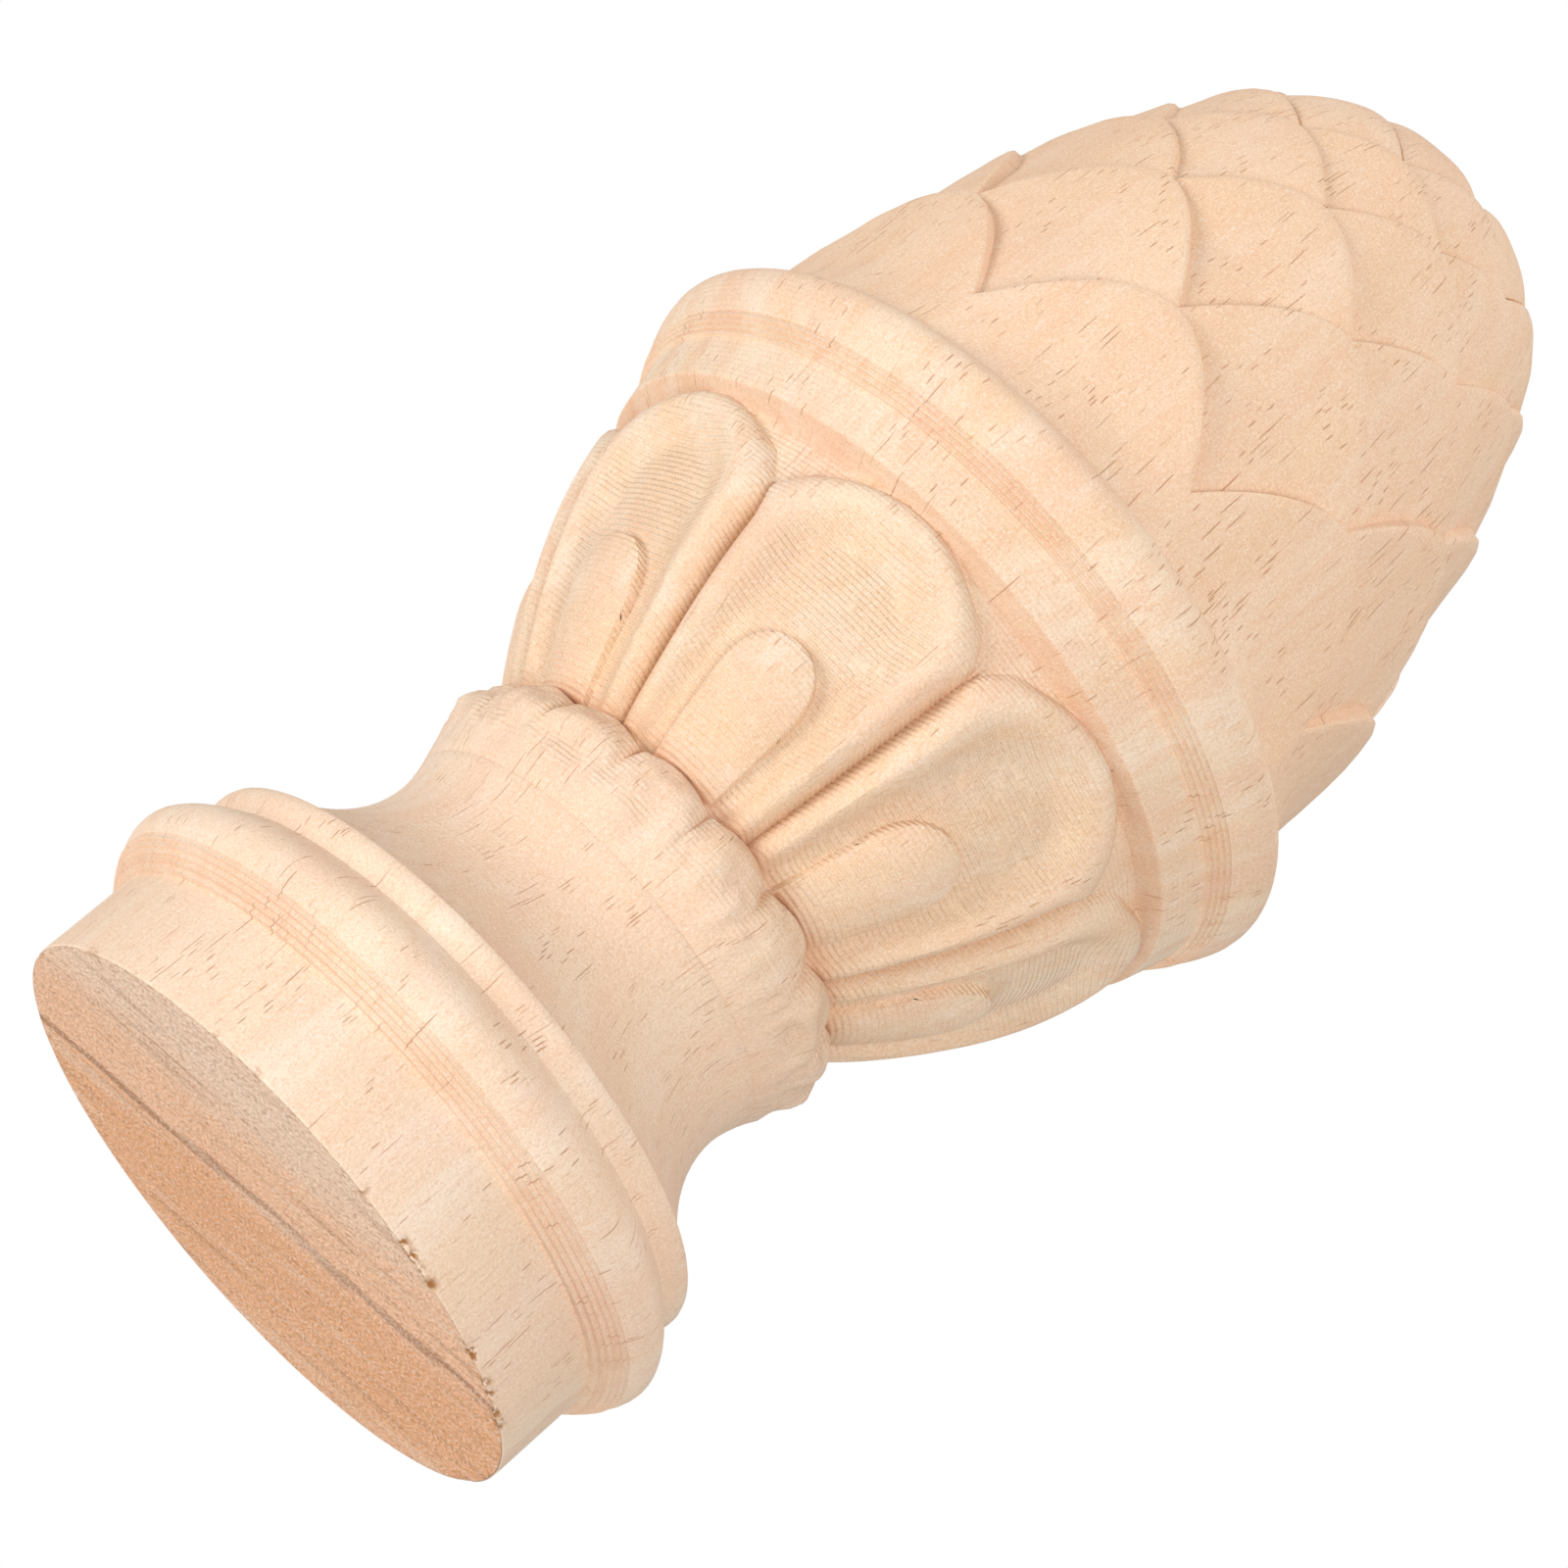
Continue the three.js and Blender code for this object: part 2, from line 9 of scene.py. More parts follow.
import bmesh
import bpy
from mathutils import Matrix, Vector, noise


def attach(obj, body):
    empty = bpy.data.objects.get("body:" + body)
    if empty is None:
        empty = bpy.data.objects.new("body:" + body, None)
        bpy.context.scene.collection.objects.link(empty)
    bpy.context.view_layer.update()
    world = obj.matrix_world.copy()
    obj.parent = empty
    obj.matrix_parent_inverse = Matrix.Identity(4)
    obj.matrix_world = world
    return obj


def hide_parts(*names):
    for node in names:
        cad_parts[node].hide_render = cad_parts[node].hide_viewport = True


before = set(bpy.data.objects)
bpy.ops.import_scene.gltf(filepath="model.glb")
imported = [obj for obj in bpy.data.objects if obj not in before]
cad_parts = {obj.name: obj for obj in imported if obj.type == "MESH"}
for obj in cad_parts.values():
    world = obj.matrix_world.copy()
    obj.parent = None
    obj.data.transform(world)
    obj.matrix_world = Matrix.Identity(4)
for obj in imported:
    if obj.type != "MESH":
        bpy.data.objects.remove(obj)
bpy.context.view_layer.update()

log = logging.getLogger("stair_finial")

MM = 0.001
SECTORS = 8
HALF_SECTOR = 180.0 / SECTORS
COLUMNS = 24

# A spot is an angle in degrees from the middle of a petal and a height in millimetres.
# A place on the skin of half a sector has a radius in millimetres too.
Spot = tuple[float, float]
Place = tuple[float, float, float]
Row = list[Place]

EVEN_ANGLES = [HALF_SECTOR * i / COLUMNS for i in range(COLUMNS + 1)]


def clamp(value: float, low: float = 0.0, high: float = 1.0) -> float:
    """Keeps a value between two limits."""
    return min(max(value, low), high)


def mix(a: float, b: float, share: float) -> float:
    """Goes from a to b by a share."""
    return a + (b - a) * share


def smooth_step(low: float, high: float, value: float) -> float:
    """Eases from 0 at low to 1 at high."""
    t = clamp((value - low) / (high - low))
    return t * t * (3.0 - 2.0 * t)


def fold_angle(angle: float, pitch: float, phase: float = 0.0) -> float:
    """Gives the angle to the nearest multiple of a pitch."""
    turned = angle - phase
    return turned - pitch * round(turned / pitch)


def spread(low: float, high: float, count: int, power: float = 1.0) -> list[float]:
    """Lists values from low to high in a number of steps.

    Args:
        low: First value.
        high: Last value.
        count: Number of steps.
        power: Above 1 the steps are shorter near the first value.

    Returns:
        The count + 1 values.
    """
    return [mix(low, high, (i / count) ** power) for i in range(count + 1)]


def blend_angles(first: Iterable[float], second: Iterable[float], share: float) -> list[float]:
    """Moves the angles of the columns from one list to another by a share."""
    return [mix(a, b, share) for a, b in zip(first, second)]


def spots_between(start: Spot, end: Spot, shares: Iterable[float]) -> list[Spot]:
    """Lists the spots at shares of the way from one spot to another."""
    return [(mix(start[0], end[0], s), mix(start[1], end[1], s)) for s in shares]


def turned_rows(line: Iterable[tuple[float, float]]) -> list[Row]:
    """Turns a line of radius and height into rows with evenly spread columns."""
    return [[(angle, z, radius) for angle in EVEN_ANGLES] for radius, z in line]


@dataclass(frozen=True)
class Arch:
    """Straight-sided arch with a round head, as each petal and tongue has.

    Attributes:
        half_angle: Half its width in degrees.
        start: Height where the head begins, in millimetres.
        top: Height of its top.
        power: Roundness of the head; 2 is a half ellipse.
    """

    half_angle: float
    start: float
    top: float
    power: float

    def share(self, angle: float, z: float) -> float:
        """Gives 0 on the middle line, 1 on the outline and more outside.

        Args:
            angle: Angle from the middle of a petal, in degrees.
            z: Height in millimetres.

        Returns:
            The place across the arch.
        """
        side = abs(angle) / self.half_angle
        rise = max(0.0, z - self.start) / (self.top - self.start)
        return (side**self.power + rise**self.power) ** (1.0 / self.power)

    def outline(self, turn: float) -> tuple[float, float]:
        """Gives the angle and height of the head's outline at a turn from 0 to 90 degrees.

        Args:
            turn: Turn round the head, from the side up to the top.

        Returns:
            Angle, and height above the head's beginning.
        """
        cosine = max(0.0, math.cos(math.radians(turn)))
        sine = math.sin(math.radians(turn))
        across = self.half_angle * cosine ** (2.0 / self.power)
        return across, (self.top - self.start) * sine ** (2.0 / self.power)


def soft_max(first: float, second: float, reach: float) -> float:
    """Takes the larger value, with a soft passage where both differ by less than the reach."""
    near = max(reach - abs(first - second), 0.0)
    return max(first, second) + near * near / (4.0 * reach)


def bulge(z: float, crest: float, full: float, end: float, low: float, power: float) -> float:
    """Gives the radius of a rounded moulding.

    Args:
        z: Height of the point.
        crest: Height of the widest place.
        full: Radius there.
        end: Height where the moulding ends.
        low: Radius there.
        power: Fullness of the curve.

    Returns:
        The radius at z.
    """
    return full - (full - low) * clamp((z - crest) / (end - crest)) ** power


@dataclass
class Foot:
    """Foot band, bead and narrow ring, with the sawn underside. Millimetres."""

    radius: float = 38.75
    edge_ease: float = 0.25
    top: float = 13.1
    bead_start_radius: float = 39.4
    bead_radius: float = 42.95
    bead_crest: float = 19.0
    under_power: float = 1.85
    over_power: float = 2.0
    terrace_end: float = 16.2
    terraces: int = 5
    quirk_radius: float = 38.3
    quirk: float = 24.6
    quirk_softness: float = 1.1
    ring_radius: float = 39.25
    ring_crest: float = 27.2
    ring_top: float = 28.5
    ring_edge: float = 0.4
    ring_lead: float = 0.8
    riser: float = 0.03
    flat_shares: tuple[float, ...] = (0.0, 0.25, 0.5, 0.75, 0.9, 0.97, 1.0)
    edge_turns: tuple[float, ...] = (30.0, 60.0, 90.0)
    band_heights: tuple[float, ...] = (0.5, 0.8, 1.2, 1.8, 5.0, 9.0)

    def bead(self, z: float) -> float:
        """Gives the radius of the bead.

        Args:
            z: Height in millimetres.

        Returns:
            The radius in millimetres.
        """
        if z < self.bead_crest:
            low = self.bead_start_radius
            return bulge(z, self.bead_crest, self.bead_radius, self.top, low, self.under_power)
        fall = (z - self.bead_crest) / (self.quirk - self.bead_crest)
        return self.bead_radius - (self.bead_radius - self.quirk_radius) * fall**self.over_power

    def ring(self, z: float) -> float:
        """Gives the radius of the soft ring above the bead, with its crisp upper edge.

        Args:
            z: Height in millimetres.

        Returns:
            The radius in millimetres.
        """
        if z < self.ring_crest:
            rise = smooth_step(self.quirk - self.ring_lead, self.ring_crest, z)
            return mix(self.quirk_radius, self.ring_radius, rise)
        fall = (z - self.ring_crest) / (self.ring_top - self.ring_crest)
        return self.ring_radius - self.ring_edge * fall**3

    def rows(self) -> list[Row]:
        """Lists the rows from the middle of the underside to the top of the ring.

        Returns:
            The rows from below upwards.
        """
        flat = self.radius - self.edge_ease
        line = [(flat * share, 0.0) for share in self.flat_shares]
        for turn in self.edge_turns:
            sine, cosine = math.sin(math.radians(turn)), math.cos(math.radians(turn))
            line.append((flat + self.edge_ease * sine, self.edge_ease * (1.0 - cosine)))
        line += [(self.radius, z) for z in (*self.band_heights, self.top - self.riser)]
        line += terrace_line(self.bead, self.top, self.terrace_end, self.terraces, self.riser)
        line += [(self.bead(z), z) for z in spread(self.terrace_end, self.bead_crest, 3)]
        for z in spread(self.bead_crest, self.ring_top - 0.2, 15)[1:] + [self.ring_top - 0.06]:
            line.append((soft_max(self.bead(z), self.ring(z), self.quirk_softness), z))
        return turned_rows(line)


def terrace_line(
    radius_at: Callable[[float], float], low: float, high: float, count: int, riser: float
) -> list[tuple[float, float]]:
    """Cuts a moulding into the small steps that the carving machine leaves on undersides.

    Args:
        radius_at: Function that gives the moulding's radius at a height.
        low: Height of the first step.
        high: Height of the last step's end.
        count: Number of steps.
        riser: Height over which each riser runs.

    Returns:
        Radius and height of both ends of each step.
    """
    line = []
    pitch = (high - low) / count
    for step in range(count):
        z = low + step * pitch
        radius = radius_at(z + pitch / 2)
        line += [(radius, z), (radius, z + pitch - riser)]
    return line


@dataclass
class Collar:
    """Scotia, waist and the collar with its scalloped lip. Millimetres."""

    start: float = 28.5
    start_radius: float = 37.7
    waist_radius: float = 27.0
    waist: float = 45.6
    scotia_power: float = 2.15
    flare_power: float = 1.6
    scribe: float = 50.0
    scribe_width: float = 0.4
    scribe_depth: float = 0.1
    collar_start: float = 54.0
    collar_start_radius: float = 29.6
    crest: float = 57.6
    crest_radius: float = 30.4
    lip: float = 62.2
    lip_radius: float = 28.5
    lobes: int = 2 * SECTORS
    lobe_depth: float = 1.0
    lobe_power: float = 2.2
    notch_depth: float = 0.95
    notch_power: float = 9.0
    notch_start: float = 54.6
    notch_full: float = 61.0
    notch_drop: float = 1.1
    dimple_depth: float = 0.4
    dimple: float = 55.2
    lip_lead: float = 0.9
    crevice_radius: float = 26.3
    crevice: float = 62.45
    angles: list[float] = field(
        default_factory=lambda: [
            0.0, 1.5, 3.0, 4.4, 5.7, 6.9, 8.0, 8.9, 9.6, 10.15, 10.6, 10.95, 11.25,
            11.55, 11.9, 12.35, 12.9, 13.6, 14.5, 15.6, 16.8, 18.1, 19.5, 21.0, 22.5,
        ]
    )

    def lobe_share(self, angle: float) -> float:
        """Gives 0 on the middle of a lobe and 1 in the notch beside it."""
        pitch = 360.0 / self.lobes
        return abs(fold_angle(angle, pitch)) / (pitch / 2)

    def profile(self, z: float) -> float:
        """Gives the turned radius from the scotia to the lip.

        Args:
            z: Height in millimetres.

        Returns:
            The radius in millimetres.
        """
        if z < self.waist:
            t = (self.waist - z) / (self.waist - self.start)
            return mix(self.waist_radius, self.start_radius, t**self.scotia_power)
        if z < self.collar_start:
            t = (z - self.waist) / (self.collar_start - self.waist)
            return mix(self.waist_radius, self.collar_start_radius, t**self.flare_power)
        if z < self.crest:
            t = smooth_step(self.collar_start, self.crest, z)
            return mix(self.collar_start_radius, self.crest_radius, t)
        return bulge(z, self.crest, self.crest_radius, self.lip, self.lip_radius, 2.0)

    def radius(self, angle: float, z: float) -> float:
        """Gives the radius with the scribed line, the dimples and the notches between lobes.

        Args:
            angle: Angle from the middle of a petal, in degrees.
            z: Height in millimetres.

        Returns:
            The radius in millimetres.
        """
        share = self.lobe_share(angle)
        scribe = max(0.0, 1.0 - abs(z - self.scribe) / (self.scribe_width / 2))
        notch = self.lobe_depth * share**self.lobe_power + self.notch_depth * share**self.notch_power
        dimple = math.exp(-(((z - self.dimple) / 1.5) ** 2) - (share / 0.55) ** 2)
        depth = notch * smooth_step(self.notch_start, self.notch_full, z)
        return self.profile(z) - depth - self.scribe_depth * scribe - self.dimple_depth * dimple

    def rows(self) -> list[Row]:
        """Lists the rows from the ring to the crevice behind the lip.

        Returns:
            The rows from below upwards.
        """
        rows = []
        for z in spread(self.start, self.waist, 13, 1.3):
            rows.append([(angle, z, self.radius(angle, z)) for angle in EVEN_ANGLES])
        half = self.scribe_width / 2
        heights = [47.2, 48.6, self.scribe - half, self.scribe, self.scribe + half, 51.5, 53.0]
        for z in [*heights, self.notch_start]:
            share = (z - self.waist) / (self.notch_start - self.waist)
            angles = blend_angles(EVEN_ANGLES, self.angles, share)
            rows.append([(angle, z, self.radius(angle, z)) for angle in angles])
        last = self.lip - self.lip_lead
        for z in spread(self.notch_start, last, 10)[1:]:
            rows.append([(angle, z, self.radius(angle, z)) for angle in self.angles])
        for share in (0.5, 0.8, 1.0):
            row = []
            for angle in self.angles:
                top = self.lip - self.notch_drop * self.lobe_share(angle) ** self.lobe_power
                row.append((angle, mix(last, top, share), self.radius(angle, mix(last, self.lip, share))))
            rows.append(row)
        return rows

    def crevice_rows(self, angles: list[float], cup: "PetalCup") -> list[Row]:
        """Lists the rows of the narrow crevice between the lip and the petals.

        Args:
            angles: Angles of the petals' columns, which the crevice runs into.
            cup: Petals that begin just above.

        Returns:
            The rows, from just inside the lip upwards.
        """
        rows = []
        last = self.rows()[-1]
        for share, inward in ((0.35, 0.6), (0.7, 1.0)):
            row = []
            for (_, z, radius), angle in zip(last, blend_angles(self.angles, angles, share)):
                floor = min(self.crevice_radius, cup.radius(angle, cup.start) - 0.1)
                row.append((angle, mix(z + 0.1, self.crevice, share), mix(radius, floor, inward)))
            rows.append(row)
        return rows


@dataclass
class PetalCup:
    """Cup carved with eight petals, each with a hollow and a tongue. Millimetres."""

    start: float = 62.8
    start_radius: float = 28.0
    top: float = 99.0
    top_radius: float = 44.7
    cup_power: float = 1.85
    petal: Arch = Arch(18.0, 86.5, 96.8, 2.0)
    outline: Arch = Arch(24.1, 86.5, 98.5, 1.75)
    hollow_low_share: float = 0.71
    hollow_high_share: float = 0.54
    hollow_head_share: float = 0.3
    hollow_bottom_depth: float = 1.9
    hollow_depth: float = 3.1
    hollow_full: float = 78.0
    hollow_spread: float = 6.0
    tongue: Arch = Arch(9.6, 72.5, 79.6, 2.2)
    tongue_drop: float = 0.15
    tongue_edge_drop: float = 0.5
    tongue_crown: float = 2.2
    tongue_step: float = 0.97
    tongue_edge: float = 1.07
    edge_rounding: float = 1.1
    wall_depth: float = 2.2
    wall_step: float = 0.045
    groove_depth: float = 3.4
    groove_start_depth: float = 2.3
    groove_full: float = 74.0
    groove_top: float = 91.5
    groove_top_angle: float = 21.0
    ledge: float = 97.7
    ledge_radius: float = 42.7
    ledge_top: float = 99.3
    ledge_top_radius: float = 45.6
    ledge_lead: float = 0.5
    tip_top: float = 98.5
    tip_half_angle: float = 16.0
    shares: tuple[float, ...] = (
        0.0, 0.12, 0.23, 0.33, 0.41, 0.47, 0.505, 0.525, 0.542, 0.564,
        0.61, 0.655, 0.7, 0.75, 0.8, 0.85, 0.9, 0.95, 1.0,
    )
    side_shares: tuple[float, ...] = (0.3, 0.55, 0.75, 0.88, 0.96, 1.0)
    line_shares: tuple[float, ...] = (0.4, 0.8, 0.97, 0.98, 0.99, 1.0)
    line_turn: float = 19.7
    corner_turn: float = 42.0
    tip_turn: float = 54.0
    tip_columns: int = 16

    def crest(self, z: float) -> float:
        """Gives the radius of the petals' rims."""
        t = clamp((z - self.start) / (self.top - self.start))
        return mix(self.start_radius, self.top_radius, 1.0 - (1.0 - t) ** self.cup_power)

    def radius(self, angle: float, z: float) -> float:
        """Gives the radius of the carved cup, down to the ledge under the rim.

        Args:
            angle: Angle from the middle of a petal, in degrees.
            z: Height in millimetres.

        Returns:
            The radius in millimetres.
        """
        side = fold_angle(angle, 2 * HALF_SECTOR)
        q = self.petal.share(side, z)
        depth = self.side_depth(abs(side), z, q) if q > 1.0 else self.hollow(side, z, q)
        return max(self.crest(z) - depth, self.ledge_line(z))

    def ledge_line(self, z: float) -> float:
        """Gives the radius of the sloping ledge that the petals' tips run into.

        Args:
            z: Height in millimetres.

        Returns:
            The radius in millimetres, or 0 below the ledge.
        """
        if z < self.ledge - self.ledge_lead:
            return 0.0
        share = (z - self.ledge) / (self.ledge_top - self.ledge)
        return mix(self.ledge_radius, self.ledge_top_radius, share)

    def hollow(self, side: float, z: float, q: float) -> float:
        """Gives the depth under the rims of the hollow and the domed tongue in it.

        Args:
            side: Angle from the petal's middle line.
            z: Height.
            q: Place across the petal, 1 on its rim.

        Returns:
            The depth in millimetres.
        """
        rise = smooth_step(self.start, self.hollow_full, z)
        full = mix(self.hollow_bottom_depth, self.hollow_depth, rise)
        low = smooth_step(self.tongue.top + self.hollow_spread, self.tongue.start, z)
        flat = mix(self.hollow_high_share, self.hollow_low_share, low)
        flat = mix(flat, self.hollow_head_share, smooth_step(self.petal.start, self.petal.top, z))
        depth = full * (1.0 - smooth_step(flat, 1.0, q))
        u = self.tongue.share(side, z)
        if u >= self.tongue_edge:
            return depth
        dome = mix(self.tongue_drop, self.tongue_edge_drop * full, min(u, 1.0) ** self.tongue_crown)
        return mix(min(dome, depth), depth, smooth_step(self.tongue_step, self.tongue_edge, u))

    def side_depth(self, side: float, z: float, q: float) -> float:
        """Gives the depth under the rims of a petal's edge, the groove and the wall beside it.

        Args:
            side: Angle from the petal's middle line, never negative.
            z: Height.
            q: Place across the petal, 1 on its rim.

        Returns:
            The depth in millimetres.
        """
        across = self.outline.share(side, z)
        from_rim = (q - 1.0) * self.petal.half_angle
        to_outline = max(0.0, 1.0 - across) * self.outline.half_angle
        edge = self.edge_rounding * (from_rim / (from_rim + to_outline)) ** 2
        edge = mix(edge, self.wall_depth, smooth_step(1.0, 1.0 + self.wall_step, across))
        narrow = smooth_step(self.petal.start, self.groove_top, z)
        rise = smooth_step(self.start, self.groove_full, z)
        full = mix(mix(self.groove_start_depth, self.groove_depth, rise), self.wall_depth, narrow)
        brink = mix(self.petal.half_angle, self.groove_top_angle, narrow)
        groove = full * clamp((side - brink) / (HALF_SECTOR - brink)) ** 2
        return max(edge, groove)

    def tip_line(self, angle: float) -> float:
        """Gives the height at which petals and wall meet the ledge."""
        rise = max(0.0, 1.0 - (angle / self.tip_half_angle) ** 2)
        return mix(self.ledge, self.tip_top, rise)

    def angles(self) -> list[float]:
        """Lists the angles of the columns: across the petal, then out to the groove."""
        half = self.petal.half_angle
        return [half * q for q in self.shares] + [mix(half, HALF_SECTOR, s) for s in self.side_shares]

    def row(self, beside: float, middle: float, reach: float) -> Row:
        """Makes a row that arches over the tongue and runs level beside it.

        Args:
            beside: Height beside the tongue.
            middle: Height on the middle line.
            reach: Width of the arch as a share of the tongue's.

        Returns:
            The row's places.
        """
        row = []
        for angle in self.angles():
            share = clamp(angle / (self.tongue.half_angle * reach))
            rise = (1.0 - share**self.tongue.power) ** (1.0 / self.tongue.power)
            z = mix(beside, middle, rise)
            row.append((angle, z, self.radius(angle, z)))
        return row

    def straight_rows(self) -> list[Row]:
        """Lists the rows from the foot of the petals to where their heads begin.

        Returns:
            The rows from below upwards.
        """
        tongue = self.tongue
        side, last = tongue.start - 1.4, tongue.start + 0.9
        tall = tongue.top - tongue.start
        rows = []
        for share in spread(0.0, 1.0, 12):
            middle = mix(self.start, tongue.top - 0.25, share)
            rows.append(self.row(mix(self.start, side, share), middle, 1.0))
        for u in (0.985, 1.0, 1.02, 1.045, self.tongue_edge):
            beside = mix(side, last, (u - self.tongue_step) / (self.tongue_edge - self.tongue_step))
            rows.append(self.row(beside, tongue.start + tall * u, u))
        head = self.petal.start
        for share in spread(0.0, 1.0, 9)[1:]:
            middle = tongue.start + tall * self.tongue_edge
            rows.append(self.row(mix(last, head, share), mix(middle, head, share), self.tongue_edge))
        return rows

    def arch_rows(self) -> list[Row]:
        """Lists the rows that fan over the petal's head and out to the ledge under the rim.

        Returns:
            The rows from the head's beginning round to the petal's middle line.
        """
        columns = self.tip_columns
        turns = spread(0.0, self.line_turn, 5) + spread(self.line_turn, self.corner_turn, 5)[1:-1]
        ends = [None] * len(turns)
        turns += spread(self.corner_turn, self.tip_turn, COLUMNS - columns)
        turns += spread(self.tip_turn, 90.0, columns)[1:]
        ends += EVEN_ANGLES[::-1]
        rows = []
        for turn, end in zip(turns, ends):
            across, rise = self.petal.outline(turn)
            spots = [(across * q, self.petal.start + rise * q) for q in self.shares]
            spots += self.outer_spots(turn, spots[-1], end)
            rows.append([(angle, z, self.radius(angle, z)) for angle, z in spots])
        return rows

    def outer_spots(self, turn: float, rim: Spot, end_angle: float | None) -> list[Spot]:
        """Lists the spots of an arch row from the petal's rim out to the line or the ledge.

        Args:
            turn: Turn of the row round the petal's head, in degrees.
            rim: Where the row crosses the rim.
            end_angle: Angle at which the row meets the ledge; None if it ends on the line
                between two petals.

        Returns:
            Each spot outside the rim.
        """
        across, rise = self.outline.outline(turn)
        edge = (across, self.outline.start + rise)
        if across >= HALF_SECTOR:
            reach = (HALF_SECTOR - rim[0]) / (edge[0] - rim[0])
            end = (HALF_SECTOR, mix(rim[1], edge[1], reach))
            shares = blend_angles(self.side_shares, self.line_shares, turn / self.line_turn)
            return spots_between(rim, end, shares)
        if end_angle is None:
            share = (turn - self.line_turn) / (self.corner_turn - self.line_turn)
            end = (HALF_SECTOR, mix(edge[1], self.ledge, share))
        else:
            end = (end_angle, self.tip_line(end_angle))
        if edge[1] > self.tip_line(across) - 0.1:
            return spots_between(rim, end, (0.25, 0.5, 0.7, 0.85, 0.95, 1.0))
        return spots_between(rim, edge, (0.4, 0.8, 1.0)) + spots_between(edge, end, (0.22, 0.6, 1.0))


@dataclass
class Rim:
    """Rim band over the petals and the torus above it. Millimetres."""

    bottom: float = 99.3
    bottom_radius: float = 45.6
    top: float = 104.8
    top_radius: float = 47.3
    torus_radius: float = 50.9
    torus_crest: float = 112.0
    torus_top: float = 116.0
    torus_top_radius: float = 47.4
    under_power: float = 1.45
    over_power: float = 2.2
    terrace_end: float = 107.3
    terraces: int = 4
    riser: float = 0.03
    band_hollow: float = 0.25
    band_heights: tuple[float, ...] = (99.6, 100.4, 101.6, 103.0, 104.2)

    def torus(self, z: float) -> float:
        """Gives the radius of the torus.

        Args:
            z: Height in millimetres.

        Returns:
            The radius in millimetres.
        """
        if z < self.torus_crest:
            end, low, power = self.top, self.top_radius, self.under_power
        else:
            end, low, power = self.torus_top, self.torus_top_radius, self.over_power
        return bulge(z, self.torus_crest, self.torus_radius, end, low, power)

    def rows(self, cup: PetalCup) -> list[Row]:
        """Lists the rows from the ledge over the cup to the top of the torus.

        Args:
            cup: Cup whose ledge the rim begins on.

        Returns:
            The rows from below upwards.
        """
        rows = []
        for share in (0.0, 0.3, 0.6, 0.88):
            row = []
            for angle in EVEN_ANGLES:
                z = mix(cup.tip_line(angle), self.bottom, share)
                row.append((angle, z, cup.radius(angle, z)))
            rows.append(row)
        line = [(self.bottom_radius - 0.02, self.bottom)]
        for z in (*self.band_heights, self.top - self.riser):
            t = (z - self.bottom) / (self.top - self.bottom)
            line.append((mix(self.bottom_radius, self.top_radius, t) - self.band_hollow * t, z))
        line += terrace_line(self.torus, self.top, self.terrace_end, self.terraces, self.riser)
        line += [(self.torus(z), z) for z in spread(self.terrace_end, self.torus_crest, 6)]
        line += [(self.torus(z), z) for z in spread(self.torus_crest, self.torus_top - 0.1, 8, 0.8)[1:]]
        return rows + turned_rows(line)


@dataclass(frozen=True)
class ScaleRow:
    """One row of scales: tip and notch as shares of the cone's height, radius of its foot radius.

    Attributes:
        tip: Height of the tips.
        notch: Height where neighbours meet.
        radius: Radius at the tips.
        faces: Number of rows of faces on the open part of the scales.
    """

    tip: float
    notch: float
    radius: float
    faces: int


